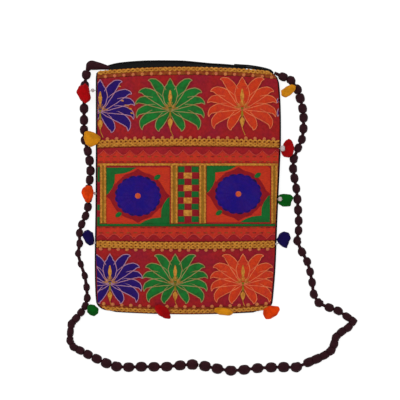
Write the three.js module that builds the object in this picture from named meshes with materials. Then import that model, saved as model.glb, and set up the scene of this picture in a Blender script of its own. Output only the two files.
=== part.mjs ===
import * as THREE from 'three';

// Embroidered crossbody bag with a beaded cloth strap, lying on its back.
// Millimetres, +Z up, +Y towards the zip, +X to the right of the embroidered front.
// The origin is on the underside of the back panel, in the middle of the bag.

const GAP = 0.3; // left between two pieces that touch

// Walls of the bag
const HALF_WIDTH = 92;
const BACK_WALL = 1.6;
const FRONT_WALL = 1.0;
const BAND_WALL = 1.0;
const BRAID_WALL = 1.6;
const SEAM_LIFT = 3.0; // underside of the back panel at its side seams
const FLAT_SIDES = 0.72; // share of the half width that lies flat on its back
const FLAT_BOTTOM = 0.14; // share of the height, from the bottom seam, that curls up
const CROWN = 8.2; // how far the filled front stands above its seams
const CROWN_POWER = 3;
const TOP_BOW = 4.2; // the mouth arches up between its corners
const BOTTOM_BOW = 3.5; // the bottom seam sags between its corners
const EDGE_INSET = 0.006; // share of the width of black cloth left bare at a side seam

const CORNER_RADIUS = { bottomLeft: 12, bottomRight: 10, topLeft: 3, topRight: 12 };

const LOWER_LOTUS_HEIGHT = 58;
const UPPER_LOTUS_HEIGHT = 64.6;
const CENTRE_HEIGHT = 94.7;
const BOTTOM_BRAID_HEIGHT = 6.5;
const LOWER_BRAID_HEIGHT = 7.7;
const UPPER_BRAID_HEIGHT = 7.2;
const TOP_BRAID_HEIGHT = 7.9;

// The front, from the bottom seam to the mouth. rows are shares of a strip's own height.
const STRIPS = [
  {
    name: 'bottom_braid', height: BOTTOM_BRAID_HEIGHT, wall: BRAID_WALL, material: 'gold',
    rows: [0, 0.15, 0.5, 1],
  },
  {
    name: 'lower_lotus_band', height: LOWER_LOTUS_HEIGHT, wall: BAND_WALL, material: 'red',
    rows: [0, 0.05, 0.1, 0.35, 0.65, 1],
  },
  {
    name: 'lower_braid', height: LOWER_BRAID_HEIGHT, wall: BRAID_WALL, material: 'gold',
    rows: [0, 1],
  },
  {
    name: 'centre_band', height: CENTRE_HEIGHT, wall: BAND_WALL, material: 'orange',
    rows: [0, 0.25, 0.5, 0.75, 1],
  },
  {
    name: 'upper_braid', height: UPPER_BRAID_HEIGHT, wall: BRAID_WALL, material: 'gold',
    rows: [0, 1],
  },
  {
    name: 'upper_lotus_band', height: UPPER_LOTUS_HEIGHT, wall: BAND_WALL, material: 'red',
    rows: [0, 0.33, 0.66, 0.94, 1],
  },
  {
    name: 'top_braid', height: TOP_BRAID_HEIGHT, wall: BRAID_WALL, material: 'gold',
    rows: [0, 0.5, 0.85, 1],
  },
];

// Sections across the bag: left and right are shares of HALF_WIDTH, fullness is a share of CROWN.
const SECTIONS = [
  { along: 0.0, left: -0.99, right: 0.905, fullness: 0.0 },
  { along: 0.1, left: -1.003, right: 0.93, fullness: 0.52 },
  { along: 0.2, left: -1.008, right: 0.949, fullness: 0.8 },
  { along: 0.3, left: -1.004, right: 0.957, fullness: 0.95 },
  { along: 0.45, left: -0.998, right: 0.973, fullness: 1.0 },
  { along: 0.6, left: -0.996, right: 0.992, fullness: 0.98 },
  { along: 0.72, left: -0.995, right: 1.005, fullness: 0.9 },
  { along: 0.87, left: -0.995, right: 1.0, fullness: 0.7 },
  { along: 1.0, left: -0.995, right: 0.975, fullness: 0.42 },
];

const FRONT_COLUMNS = [0, 0.02, 0.06, 0.12, 0.2, 0.31, 0.44, 0.56, 0.69, 0.8, 0.88, 0.94, 0.98, 1];
const BACK_COLUMNS = [0, 0.03, 0.08, 0.14, 0.5, 0.86, 0.92, 0.97, 1];
const BACK_ROWS = [
  0, 0.004, 0.014, 0.03, 0.05, 0.09, 0.14, 0.3, 0.45, 0.6, 0.75, 0.87, 0.95, 0.985, 0.996, 1,
];

// Zip along the mouth
const ZIP_STAND = 6.9; // the zip stands this far past the front panel's top edge
const TAPE_WALL = 1.0;
const COIL_RADIUS = 1.2;
const COIL_SIDES = 8;
const SLIDER = { length: 7, width: 2.4, height: 3.6 };

// Sections along the zip: across is a share of the bag's width, stand a share of ZIP_STAND.
const ZIP_SECTIONS = [
  { across: 0.055, stand: 0.82 },
  { across: 0.1, stand: 1.0 },
  { across: 0.16, stand: 1.09 },
  { across: 0.26, stand: 1.12 },
  { across: 0.35, stand: 1.08 },
  { across: 0.43, stand: 1.03 },
  { across: 0.51, stand: 0.97 },
  { across: 0.59, stand: 0.82 },
  { across: 0.67, stand: 0.68 },
  { across: 0.74, stand: 0.66 },
  { across: 0.81, stand: 0.6 },
  { across: 0.88, stand: 0.53 },
];

// Beaded strap
const STRAP_SIDES = 10;
const NECK_RADIUS = 1.5; // the cloth tube where it is gathered between two beads
const SHOULDER = { along: 0.62, radius: 0.785 }; // of a bead's half length and radius
const ROUND_BEAD = 1.12; // a bead's half length is at most this times its radius
const BEAD_REACH = 1.06; // a bead's shoulders stand this much proud of a ball of its radius
const SEAT_GAP = 0.4; // between a bud and what it has settled on

// The strap's route, bead by bead: each point is the middle of a bead, beads counts the beads
// from it to the next point, and radius is the radius of the bead at the point.
const STRAP_ROUTE = [
  { x: -101.5, y: 112.5, beads: 1, radius: 4.6 },
  { x: -103.2, y: 101, beads: 1, radius: 4.4 },
  { x: -103.7, y: 90, beads: 2, radius: 4.4 },
  { x: -103.8, y: 66.8, beads: 1, radius: 4.4 },
  { x: -103.9, y: 57, beads: 1, radius: 4.2 },
  { x: -103.2, y: 46.5, beads: 1, radius: 4.1 },
  { x: -100, y: 35.8, beads: 2, radius: 4.3 },
  { x: -97.2, y: 16.2, beads: 2, radius: 4.3 },
  { x: -99.3, y: -2, beads: 2, radius: 4.0 },
  { x: -99.8, y: -20, beads: 1, radius: 4.0 },
  { x: -102.2, y: -29, beads: 1, radius: 3.7 },
  { x: -106.2, y: -37.2, beads: 1, radius: 3.6 },
  { x: -108.5, y: -46, beads: 1, radius: 3.6 },
  { x: -108, y: -56.5, beads: 1, radius: 3.4 },
  { x: -110, y: -66.5, beads: 1, radius: 3.2 },
  { x: -107.2, y: -77, beads: 1, radius: 3.1 },
  { x: -103, y: -88.8, beads: 1, radius: 3.2 },
  { x: -101.2, y: -100, beads: 1, radius: 3.4 },
  { x: -100.5, y: -111, beads: 1, radius: 3.6 },
  { x: -102.5, y: -119, beads: 2, radius: 3.6 },
  { x: -111.5, y: -131, beads: 1, radius: 3.8 },
  { x: -116.5, y: -136.5, beads: 1, radius: 3.8 },
  { x: -117.5, y: -145, beads: 1, radius: 3.6 },
  { x: -118, y: -153.5, beads: 1, radius: 3.6 },
  { x: -114.5, y: -160, beads: 1, radius: 3.8 },
  { x: -107.7, y: -163.2, beads: 2, radius: 4.2 },
  { x: -91.2, y: -171.5, beads: 2, radius: 4.8 },
  { x: -71.4, y: -179.4, beads: 2, radius: 5.0 },
  { x: -46.6, y: -179.4, beads: 2, radius: 5.0 },
  { x: -21.2, y: -179.4, beads: 2, radius: 5.1 },
  { x: 4.4, y: -177.1, beads: 1, radius: 5.2 },
  { x: 17, y: -178.8, beads: 2, radius: 5.2, half: 'right' },
  { x: 42.8, y: -183.5, beads: 2, radius: 5.2 },
  { x: 69.5, y: -180.8, beads: 2, radius: 5.1 },
  { x: 95.5, y: -179.8, beads: 1, radius: 5.2 },
  { x: 108.2, y: -180.2, beads: 1, radius: 5.2 },
  { x: 120.2, y: -175.2, beads: 2, radius: 4.7 },
  { x: 136.5, y: -168, beads: 1, radius: 4.2 },
  { x: 143, y: -163.5, beads: 1, radius: 4.2 },
  { x: 146, y: -157, beads: 1, radius: 4.2 },
  { x: 147.5, y: -150, beads: 1, radius: 4.0 },
  { x: 153.5, y: -144.5, beads: 1, radius: 4.0 },
  { x: 160, y: -140.6, beads: 1, radius: 3.9 },
  { x: 165.4, y: -134, beads: 1, radius: 4.1 },
  { x: 158.6, y: -129.4, beads: 1, radius: 4.0 },
  { x: 150, y: -123.5, beads: 1, radius: 4.2 },
  { x: 141, y: -120.5, beads: 1, radius: 4.2 },
  { x: 130.4, y: -116, beads: 1, radius: 4.2 },
  { x: 125.4, y: -107.1, beads: 1, radius: 4.1 },
  { x: 124, y: -95.3, beads: 2, radius: 3.8 },
  { x: 119.2, y: -74.4, beads: 1, radius: 3.9 },
  { x: 113.8, y: -65, beads: 1, radius: 4.0 },
  { x: 108.8, y: -53.8, beads: 1, radius: 4.0 },
  { x: 110.5, y: -43.5, beads: 2, radius: 4.0 },
  { x: 110, y: -23, beads: 2, radius: 4.1 },
  { x: 108.2, y: -1.5, beads: 2, radius: 4.1 },
  { x: 104.8, y: 18.2, beads: 1, radius: 4.2 },
  { x: 105.5, y: 28.2, beads: 1, radius: 4.1 },
  { x: 110, y: 38.8, beads: 1, radius: 4.0 },
  { x: 114, y: 47.5, beads: 2, radius: 4.0 },
  { x: 115.5, y: 69.2, beads: 1, radius: 4.3 },
  { x: 114.5, y: 78.2, beads: 1, radius: 4.6 },
  { x: 112, y: 88.8, beads: 1, radius: 4.7 },
  { x: 109.3, y: 97.5, beads: 1, radius: 4.5 },
  { x: 103, y: 106.8, beads: 1, radius: 4.3 },
  { x: 95.2, y: 109.8, beads: 0, radius: 4.4 },
];

// The strap's twisted left end, from the corner of the bag to the first bead: aside and up are
// measured from the left end of the front panel's top edge.
const TWISTED_END = [
  { aside: 8.3, up: 3.6, radius: 1.8 },
  { aside: 3.5, up: 5.0, radius: 3.0 },
  { aside: -1.0, up: 5.6, radius: 4.2 },
  { aside: -5.2, up: 5.9, radius: 4.7 },
  { aside: -8.0, up: 4.0, radius: 3.6 },
];
const RIGHT_END_ALONG = 0.977; // share of the bag's height where the strap enters the right seam
const RIGHT_END_RADIUS = 1.6;
const RIGHT_END_CLEAR = 1.1; // from the seam, whose corner slants past the end

// Felt buds on the seams. along is a share of the seam, out is measured outwards from it, turn is
// the way in which the narrow end points, in degrees from +X, and point is how narrow that end is.
const BUD_SIDES = 8;
const BUD_SECTIONS = [-0.86, -0.46, 0.02, 0.5, 0.87]; // shares of the half length
const BUDS = [
  { name: 'bud_red_left', seam: 'left', along: 0.9, out: 12.4, length: 20, width: 16,
    thick: 9, turn: 115, point: 0.25 },
  { name: 'bud_yellow_left', seam: 'left', along: 0.708, out: 4.4, length: 18.5, width: 16,
    thick: 9, turn: 3, point: 0.35 },
  { name: 'bud_orange_left', seam: 'left', along: 0.483, out: 8.4, length: 18, width: 14,
    thick: 9, turn: -85, point: 0.4 },
  { name: 'bud_navy_left', seam: 'left', along: 0.306, out: 7.5, length: 16, width: 11.5,
    thick: 9, turn: 95, point: 0.15 },
  { name: 'bud_green_left', seam: 'bottom', along: -0.105, out: 1.3, length: 12.4, width: 12,
    thick: 9, turn: 40, point: 0.1 },
  { name: 'bud_red_bottom', seam: 'bottom', along: 0.372, out: -2.4, length: 19, width: 14.4,
    thick: 8, turn: -35, point: 0.35 },
  { name: 'bud_yellow_bottom', seam: 'bottom', along: 0.735, out: -1.9, length: 20.7, width: 9.4,
    thick: 7, turn: 2, point: 0.2 },
  { name: 'bud_orange_right', seam: 'bottom', along: 1.064, out: 2.6, length: 20.5, width: 14,
    thick: 8, turn: 32, point: 0.35 },
  { name: 'bud_navy_right', seam: 'right', along: 0.298, out: 7.9, length: 18.8, width: 15,
    thick: 9, turn: -72, point: 0.35 },
  { name: 'bud_green_right', seam: 'right', along: 0.461, out: 8.7, length: 18, width: 13.6,
    thick: 9, turn: 8, point: 0.4 },
  { name: 'bud_red_right', seam: 'right', along: 0.669, out: 7.6, length: 19, width: 14,
    thick: 9, turn: 80, point: 0.15 },
  { name: 'bud_yellow_right', seam: 'right', along: 0.907, out: 8.2, length: 18.4, width: 11.8,
    thick: 8, turn: 27, point: 0.1 },
];

const BAG_HEIGHT = STRIPS.reduce((sum, strip) => sum + strip.height, 0);
const BOTTOM_Y = -(BAG_HEIGHT + ZIP_STAND) / 2;
const SEAM_TOP = SEAM_LIFT + BACK_WALL + GAP; // underside of the front panel at its seams
const ZIP_HEIGHT = SEAM_TOP - GAP / 2;
const UP = new THREE.Vector3(0, 0, 1);

const material = (colour, roughness) => (
  new THREE.MeshStandardMaterial({ color: colour, roughness, metalness: 0 })
);

const MATERIALS = {
  black: material(0x0f0f10, 0.85),
  gold: material(0xc88232, 0.7),
  red: material(0x961c20, 0.6),
  orange: material(0xcd3719, 0.6),
  strap: material(0x2d0c14, 0.75),
  zip: material(0x0c0c0d, 0.5),
  felt_red: material(0xaa0005, 0.8),
  felt_yellow: material(0xe19114, 0.8),
  felt_orange: material(0xeb3c00, 0.8),
  felt_navy: material(0x0f0546, 0.8),
  felt_green: material(0x005a0f, 0.8),
};

// Tables

// Reads a column of a table at a place between its rows, on a smooth curve through them.
function read(table, by, column, at) {
  const last = table.length - 1;
  const above = table.findIndex((row) => row[by] > at);
  const i = above < 0 ? last - 1 : Math.max(above - 1, 0);
  const slope = (row) => {
    const before = table[Math.max(row - 1, 0)];
    const after = table[Math.min(row + 1, last)];
    return (after[column] - before[column]) / (after[by] - before[by]);
  };
  const width = table[i + 1][by] - table[i][by];
  const f = THREE.MathUtils.clamp((at - table[i][by]) / width, 0, 1);
  const f2 = f * f;
  const f3 = f2 * f;
  return (2 * f3 - 3 * f2 + 1) * table[i][column] + (3 * f2 - 2 * f3) * table[i + 1][column]
    + (f3 - 2 * f2 + f) * width * slope(i) + (f3 - f2) * width * slope(i + 1);
}

// Closed meshes

function meshGeometry(points, triangles) {
  const geometry = new THREE.BufferGeometry().setFromPoints(points);
  geometry.setIndex(triangles.flat());
  geometry.computeVertexNormals();
  return geometry;
}

// A cloth wall over a grid of columns and rows, between its under and over faces.
function wall(columns, rows, under, over) {
  const width = columns.length;
  const layer = width * rows.length;
  const points = [under, over].flatMap((face) => rows.flatMap((t) => columns.map((s) => face(s, t))));
  const index = (i, j) => j * width + i;
  const triangles = [];
  for (let j = 0; j < rows.length - 1; j += 1) {
    for (let i = 0; i < width - 1; i += 1) {
      const [a, b, c, d] = [index(i, j), index(i + 1, j), index(i + 1, j + 1), index(i, j + 1)];
      triangles.push([a, c, b], [a, d, c]);
      triangles.push([layer + a, layer + b, layer + c], [layer + a, layer + c, layer + d]);
    }
  }
  const top = rows.length - 1;
  const right = width - 1;
  const rim = [
    ...columns.map((s, i) => index(i, 0)).slice(0, right),
    ...rows.map((t, j) => index(right, j)).slice(0, top),
    ...columns.map((s, i) => index(right - i, top)).slice(0, right),
    ...rows.map((t, j) => index(0, top - j)).slice(0, top),
  ];
  rim.forEach((a, k) => {
    const b = rim[(k + 1) % rim.length];
    triangles.push([a, b, layer + b], [a, layer + b, layer + a]);
  });
  return meshGeometry(points, triangles);
}

// A body through rings of points, closed by a fan to a point at each end.
function ringBody(rings, start, end) {
  const sides = rings[0].length;
  const points = [...rings.flat(), start, end];
  const triangles = [];
  const tail = (rings.length - 1) * sides;
  for (let i = 0; i < sides; i += 1) {
    const next = (i + 1) % sides;
    for (let base = 0; base < tail; base += sides) {
      const [a, b, c, d] = [base + i, base + next, base + sides + next, base + sides + i];
      triangles.push([a, b, c], [a, c, d]);
    }
    triangles.push([points.length - 2, next, i], [points.length - 1, tail + i, tail + next]);
  }
  return meshGeometry(points, triangles);
}

// An upright elliptical ring about centre, across the direction forward.
function ring(centre, forward, halfWidth, halfHeight, sides) {
  const aside = new THREE.Vector3().crossVectors(UP, forward).normalize();
  const upward = new THREE.Vector3().crossVectors(forward, aside).normalize();
  return Array.from({ length: sides }, (_, i) => {
    const angle = (2 * Math.PI * (i + 0.5)) / sides;
    return centre.clone()
      .addScaledVector(aside, halfWidth * Math.cos(angle))
      .addScaledVector(upward, halfHeight * Math.sin(angle));
  });
}

const direction = (from, to) => new THREE.Vector3().subVectors(to, from).normalize();

// The bag's surface, at a share s across and a share t from the bottom seam to the mouth

function cornerInset(t, bottomRadius, topRadius) {
  const fromBottom = t * BAG_HEIGHT;
  const fromTop = BAG_HEIGHT - fromBottom;
  const inset = (distance, radius) => (
    distance < radius ? radius - Math.sqrt(radius ** 2 - (radius - distance) ** 2) : 0
  );
  return inset(fromBottom, bottomRadius) + inset(fromTop, topRadius);
}

const leftSeam = (t) => read(SECTIONS, 'along', 'left', t) * HALF_WIDTH
  + cornerInset(t, CORNER_RADIUS.bottomLeft, CORNER_RADIUS.topLeft);
const rightSeam = (t) => read(SECTIONS, 'along', 'right', t) * HALF_WIDTH
  - cornerInset(t, CORNER_RADIUS.bottomRight, CORNER_RADIUS.topRight);
const bottomSeam = (s) => BOTTOM_Y + BOTTOM_BOW * (2 * s - 1) ** 2;
const mouthEdge = (s) => BOTTOM_Y + BAG_HEIGHT - TOP_BOW * (2 * s - 1) ** 2;

function onBag(s, t, z) {
  const x = THREE.MathUtils.lerp(leftSeam(t), rightSeam(t), s);
  const y = THREE.MathUtils.lerp(bottomSeam(s), mouthEdge(s), t);
  return new THREE.Vector3(x, y, z);
}

// Height of the underside of the front panel
function frontHeight(s, t) {
  const across = 1 - Math.abs(2 * s - 1) ** CROWN_POWER;
  return SEAM_TOP + CROWN * across * read(SECTIONS, 'along', 'fullness', t);
}

// Height of the underside of the back panel, which is flat but for its curled seams
function backHeight(s, t) {
  const side = Math.max(0, Math.abs(2 * s - 1) - FLAT_SIDES) / (1 - FLAT_SIDES);
  const bottom = Math.max(0, FLAT_BOTTOM - t) / FLAT_BOTTOM;
  return SEAM_LIFT * (1 - (1 - side ** 2) * (1 - bottom ** 2));
}

// Panels and what is sewn on the front

function backPanel() {
  return wall(
    BACK_COLUMNS,
    BACK_ROWS,
    (s, t) => onBag(s, t, backHeight(s, t)),
    (s, t) => onBag(s, t, backHeight(s, t) + BACK_WALL),
  );
}

// Shares of the bag's height where each strip starts and ends, and its rows in between
function stripRows() {
  let foot = 0;
  return STRIPS.map((strip) => {
    const rows = strip.rows.map((row) => (foot + row * strip.height) / BAG_HEIGHT);
    foot += strip.height;
    return rows;
  });
}

function frontPanel(rowsOfStrips) {
  const rows = [0, ...rowsOfStrips.flatMap((strip) => strip.slice(1))];
  return wall(
    FRONT_COLUMNS,
    rows,
    (s, t) => onBag(s, t, frontHeight(s, t)),
    (s, t) => onBag(s, t, frontHeight(s, t) + FRONT_WALL),
  );
}

function stripGeometry(strip, rows) {
  const half = GAP / 2 / BAG_HEIGHT;
  const trimmed = [rows[0] + half, ...rows.slice(1, -1), rows.at(-1) - half];
  const inset = (s) => EDGE_INSET + s * (1 - 2 * EDGE_INSET);
  const foot = FRONT_WALL + GAP;
  return wall(
    FRONT_COLUMNS,
    trimmed,
    (s, t) => onBag(inset(s), t, frontHeight(s, t) + foot),
    (s, t) => onBag(inset(s), t, frontHeight(s, t) + foot + strip.wall),
  );
}

// Zip

function coilCentre(s) {
  const x = THREE.MathUtils.lerp(leftSeam(1), rightSeam(1), s);
  const stand = read(ZIP_SECTIONS, 'across', 'stand', s) * ZIP_STAND;
  return new THREE.Vector3(x, mouthEdge(s) + stand - COIL_RADIUS, ZIP_HEIGHT);
}

// A tape from the edge of its panel, at height panelHeight(s), to the coil.
function zipTape(panelHeight, coilSide) {
  const columns = ZIP_SECTIONS.map((section) => section.across);
  const low = coilSide * (GAP / 2 + TAPE_WALL / 2) - TAPE_WALL / 2;
  const face = (lift) => (s, t) => {
    const coil = coilCentre(s);
    const foot = mouthEdge(s) + GAP;
    const head = coil.y - COIL_RADIUS - GAP;
    return new THREE.Vector3(
      coil.x,
      THREE.MathUtils.lerp(foot, head, t),
      THREE.MathUtils.lerp(panelHeight(s), ZIP_HEIGHT + low, t) + lift,
    );
  };
  return wall(columns, [0, 1], face(0), face(TAPE_WALL));
}

function zipCoil() {
  const centres = ZIP_SECTIONS.map((section) => coilCentre(section.across));
  const rings = centres.map((centre, i) => {
    const before = centres[Math.max(i - 1, 0)];
    const after = centres[Math.min(i + 1, centres.length - 1)];
    return ring(centre, direction(before, after), COIL_RADIUS, COIL_RADIUS, COIL_SIDES);
  });
  return ringBody(rings, centres[0], centres.at(-1));
}

// The slider is parked past the last tooth, hidden in the corner of the mouth.
function zipSlider() {
  const [before, last] = ZIP_SECTIONS.slice(-2).map((section) => coilCentre(section.across));
  const forward = direction(before, last);
  const start = last.clone().addScaledVector(forward, GAP);
  const at = (share) => start.clone().addScaledVector(forward, share * SLIDER.length);
  const sections = [
    { share: 0, size: 0.8 },
    { share: 0.25, size: 1 },
    { share: 0.75, size: 1 },
    { share: 1, size: 0.6 },
  ];
  const rings = sections.map(({ share, size }) => (
    ring(at(share), forward, (size * SLIDER.width) / 2, (size * SLIDER.height) / 2, COIL_SIDES)
  ));
  return ringBody(rings, at(0), at(1));
}

// Strap

// The middle and radius of every bead, each resting on the surface that the bag lies on.
function strapBeads() {
  const curve = new THREE.CatmullRomCurve3(
    STRAP_ROUTE.map(({ x, y, radius }) => new THREE.Vector3(x, y, radius)),
    false,
    'centripetal',
  );
  const last = STRAP_ROUTE.length - 1;
  const split = STRAP_ROUTE.findIndex((row) => row.half === 'right');
  return STRAP_ROUTE.flatMap((row, i) => {
    const next = STRAP_ROUTE[Math.min(i + 1, last)];
    return Array.from({ length: Math.max(row.beads, 1) }, (_, k) => {
      const f = row.beads > 0 ? k / row.beads : 0;
      const centre = curve.getPoint((i + f) / last);
      const radius = THREE.MathUtils.lerp(row.radius, next.radius, f);
      centre.z = radius;
      return { centre, radius, half: i < split ? 'left' : 'right' };
    });
  });
}

// The gathered cloth half way between two beads, wider where they are packed together.
function neck(one, other) {
  const apart = one.centre.distanceTo(other.centre);
  const radius = (one.radius + other.radius) / 2;
  const touching = Math.sqrt(Math.max(0, radius ** 2 - (apart / 2) ** 2));
  return {
    centre: one.centre.clone().lerp(other.centre, 0.5),
    forward: direction(one.centre, other.centre),
    radius: Math.max(NECK_RADIUS, touching),
  };
}

const strapRing = ({ centre, forward, radius }) => ring(centre, forward, radius, radius, STRAP_SIDES);

// Shoulder, middle and shoulder of one bead, between what comes before it and after it.
function beadRings(bead, before, after) {
  const forward = direction(before, after);
  const room = Math.min(bead.centre.distanceTo(before), bead.centre.distanceTo(after)) / 2;
  const halfLength = Math.min(room, bead.radius * ROUND_BEAD);
  return [-1, 0, 1].map((side) => strapRing({
    centre: bead.centre.clone().addScaledVector(forward, side * SHOULDER.along * halfLength),
    forward,
    radius: side === 0 ? bead.radius : bead.radius * SHOULDER.radius,
  }));
}

function beadedRings(beads, before, after) {
  return beads.flatMap((bead, i) => {
    const from = i > 0 ? beads[i - 1].centre : before;
    const to = i < beads.length - 1 ? beads[i + 1].centre : after;
    const necks = i > 0 ? [strapRing(neck(beads[i - 1], bead))] : [];
    return [...necks, ...beadRings(bead, from, to)];
  });
}

// Where the two halves of the strap meet: a flat end each, GAP apart.
function meetingEnd(one, other) {
  const middle = neck(one, other);
  middle.centre.addScaledVector(middle.forward, -GAP / 2);
  return middle;
}

function strapLeft(left, right) {
  const corner = onBag(0, 1, 0);
  const twisted = TWISTED_END.map(({ aside, up, radius }) => ({
    centre: new THREE.Vector3(corner.x + aside, corner.y + up, Math.max(ZIP_HEIGHT, radius)),
    radius,
  }));
  const twistedRings = twisted.map((section, i) => {
    const before = twisted[Math.max(i - 1, 0)].centre;
    const after = i < twisted.length - 1 ? twisted[i + 1].centre : left[0].centre;
    return strapRing({ ...section, forward: direction(before, after) });
  });
  const end = meetingEnd(left.at(-1), right[0]);
  const rings = [
    ...twistedRings,
    strapRing(neck(twisted.at(-1), left[0])),
    ...beadedRings(left, twisted.at(-1).centre, right[0].centre),
    strapRing(end),
  ];
  return ringBody(rings, twisted[0].centre, end.centre);
}

function strapRight(left, right) {
  const seam = onBag(1, RIGHT_END_ALONG, SEAM_TOP - GAP / 2);
  const tip = seam.clone().setX(seam.x + RIGHT_END_CLEAR);
  const start = meetingEnd(right[0], left.at(-1));
  start.forward.negate();
  const end = { centre: tip, forward: direction(right.at(-1).centre, tip), radius: RIGHT_END_RADIUS };
  const rings = [
    strapRing(start),
    ...beadedRings(right, left.at(-1).centre, tip),
    strapRing(end),
  ];
  return ringBody(rings, start.centre, tip);
}

// Buds

function budMiddle({ seam, along, out }) {
  if (seam === 'left') {
    return new THREE.Vector3(leftSeam(along) - out, onBag(0, along, 0).y, 0);
  }
  if (seam === 'right') {
    return new THREE.Vector3(rightSeam(along) + out, onBag(1, along, 0).y, 0);
  }
  return new THREE.Vector3(onBag(along, 0, 0).x, bottomSeam(along) - out, 0);
}

function budRings(bud, middle) {
  const angle = THREE.MathUtils.degToRad(bud.turn);
  const forward = new THREE.Vector3(Math.cos(angle), Math.sin(angle), 0);
  const at = (share) => middle.clone().addScaledVector(forward, (share * bud.length) / 2);
  const rings = BUD_SECTIONS.map((share) => {
    const size = Math.sqrt(1 - share ** 2) * (1 - bud.point * Math.max(0, share) ** 2);
    return ring(at(share), forward, (size * bud.width) / 2, (size * bud.thick) / 2, BUD_SIDES);
  });
  return { rings, start: at(-1), end: at(1) };
}

// Height of what lies under a point: the surface, a bead of the strap or the front of the bag.
function heightUnder(point, beads) {
  const heights = beads.map(({ centre, radius }) => {
    const apart = Math.hypot(point.x - centre.x, point.y - centre.y);
    const reach = radius * BEAD_REACH;
    return apart < reach ? centre.z + Math.sqrt(reach ** 2 - apart ** 2) : 0;
  });
  const across = THREE.MathUtils.clamp(point.x / (2 * HALF_WIDTH) + 0.5, 0, 1);
  const t = (point.y - bottomSeam(across)) / (mouthEdge(across) - bottomSeam(across));
  const inside = t > 0 && t < 1 && point.x > leftSeam(t) && point.x < rightSeam(t);
  const s = inside ? (point.x - leftSeam(t)) / (rightSeam(t) - leftSeam(t)) : 0;
  const front = inside ? frontHeight(s, t) + FRONT_WALL + GAP + BRAID_WALL : 0;
  return Math.max(0, front, ...heights);
}

// Points all over a bud: its corners, and the middles of its edges and faces.
function budSamples(rings, start, end) {
  const middle = (one, other) => one.clone().lerp(other, 0.5);
  const between = rings.slice(1).map((one, k) => one.map((point, i) => middle(point, rings[k][i])));
  const all = [...rings, ...between];
  const edges = all.flatMap((one) => one.map((point, i) => middle(point, one[(i + 1) % one.length])));
  return [...all.flat(), ...edges, start, end];
}

// Lets a bud down until it rests on the surface, the strap or the bag.
function budGeometry(bud, beads) {
  const { rings, start, end } = budRings(bud, budMiddle(bud));
  const samples = budSamples(rings, start, end);
  const lowest = Math.min(...samples.map((point) => point.z));
  const lift = Math.max(...samples.map((point) => {
    const under = heightUnder(point, beads);
    return under > 0 ? under + SEAT_GAP - point.z : -lowest;
  }));
  const raise = (point) => point.clone().setZ(point.z + lift);
  return ringBody(rings.map((one) => one.map(raise)), raise(start), raise(end));
}

// The bag

const bag = new THREE.Group();

function add(name, geometry, look) {
  const mesh = new THREE.Mesh(geometry, MATERIALS[look]);
  mesh.name = name;
  bag.add(mesh);
}

const rowsOfStrips = stripRows();
add('back_panel', backPanel(), 'black');
add('front_panel', frontPanel(rowsOfStrips), 'black');
STRIPS.forEach((strip, i) => add(strip.name, stripGeometry(strip, rowsOfStrips[i]), strip.material));

const panelWallMiddle = (panelWall) => (panelWall - TAPE_WALL) / 2;
add('zip_tape_front', zipTape((s) => frontHeight(s, 1) + panelWallMiddle(FRONT_WALL), 1), 'zip');
add('zip_tape_back', zipTape((s) => backHeight(s, 1) + panelWallMiddle(BACK_WALL), -1), 'zip');
add('zip_coil', zipCoil(), 'zip');
add('zip_slider', zipSlider(), 'zip');

const beads = strapBeads();
const leftBeads = beads.filter((bead) => bead.half === 'left');
const rightBeads = beads.filter((bead) => bead.half === 'right');
add('strap_left', strapLeft(leftBeads, rightBeads), 'strap');
add('strap_right', strapRight(leftBeads, rightBeads), 'strap');

BUDS.forEach((bud) => add(bud.name, budGeometry(bud, beads), `felt_${bud.name.split('_')[1]}`));

export default bag;
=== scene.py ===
"""Embroidered crossbody bag with a beaded cloth strap, lying on its back.

Sizes in this script are millimetres unless a name says otherwise; meshes are made in metres.
+Y runs towards the zip and +X to the right of the embroidered front.
"""

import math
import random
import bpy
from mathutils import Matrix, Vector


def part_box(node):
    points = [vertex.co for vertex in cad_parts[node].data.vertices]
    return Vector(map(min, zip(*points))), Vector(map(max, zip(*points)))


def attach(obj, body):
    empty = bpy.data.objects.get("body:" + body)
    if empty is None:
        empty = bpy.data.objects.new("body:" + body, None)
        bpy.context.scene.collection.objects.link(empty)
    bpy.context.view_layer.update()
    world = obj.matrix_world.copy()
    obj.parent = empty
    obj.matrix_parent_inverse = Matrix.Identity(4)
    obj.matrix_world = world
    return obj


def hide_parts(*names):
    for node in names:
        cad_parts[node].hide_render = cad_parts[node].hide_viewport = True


bl_info = {
    "name": "Embroidered Crossbody Bag",
    "version": (1, 0, 0),
    "blender": (4, 5, 0),
    "location": "View3D > Sidebar > Bag",
    "description": "Dresses the bag with its ribbons, embroidery, braids, zip, strap and buds",
    "category": "Object",
}

import bmesh
import bpy
from bpy.props import FloatProperty, FloatVectorProperty, IntProperty, PointerProperty
from mathutils import Vector, noise
from mathutils.bvhtree import BVHTree
from mathutils.geometry import delaunay_2d_cdt

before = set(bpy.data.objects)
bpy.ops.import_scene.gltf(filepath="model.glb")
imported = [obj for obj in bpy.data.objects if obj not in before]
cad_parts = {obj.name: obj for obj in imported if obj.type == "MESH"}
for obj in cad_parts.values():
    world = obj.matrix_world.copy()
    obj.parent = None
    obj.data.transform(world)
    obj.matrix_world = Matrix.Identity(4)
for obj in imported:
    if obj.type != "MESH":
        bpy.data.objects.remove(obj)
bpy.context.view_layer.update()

MM = 0.001
UP = Vector((0, 0, 1))

# Cloth walls and the gap between two sewn layers, as in the solid model
PANEL_WALL = 1.0
BACK_WALL = 1.6
RIBBON_WALL = 1.0
BRAID_WALL = 1.6
LAYER_GAP = 0.3
RIBBON_TOP = LAYER_GAP + RIBBON_WALL  # above the top of the front cloth
BRAID_TOP = LAYER_GAP + BRAID_WALL
SEAM_HEIGHT = 4.75
TRIM_INSET = 1.6  # needlework stops this far in from the side seams

ACROSS = 95  # needlework across the front starts and ends this far from its middle, past both seams

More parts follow.
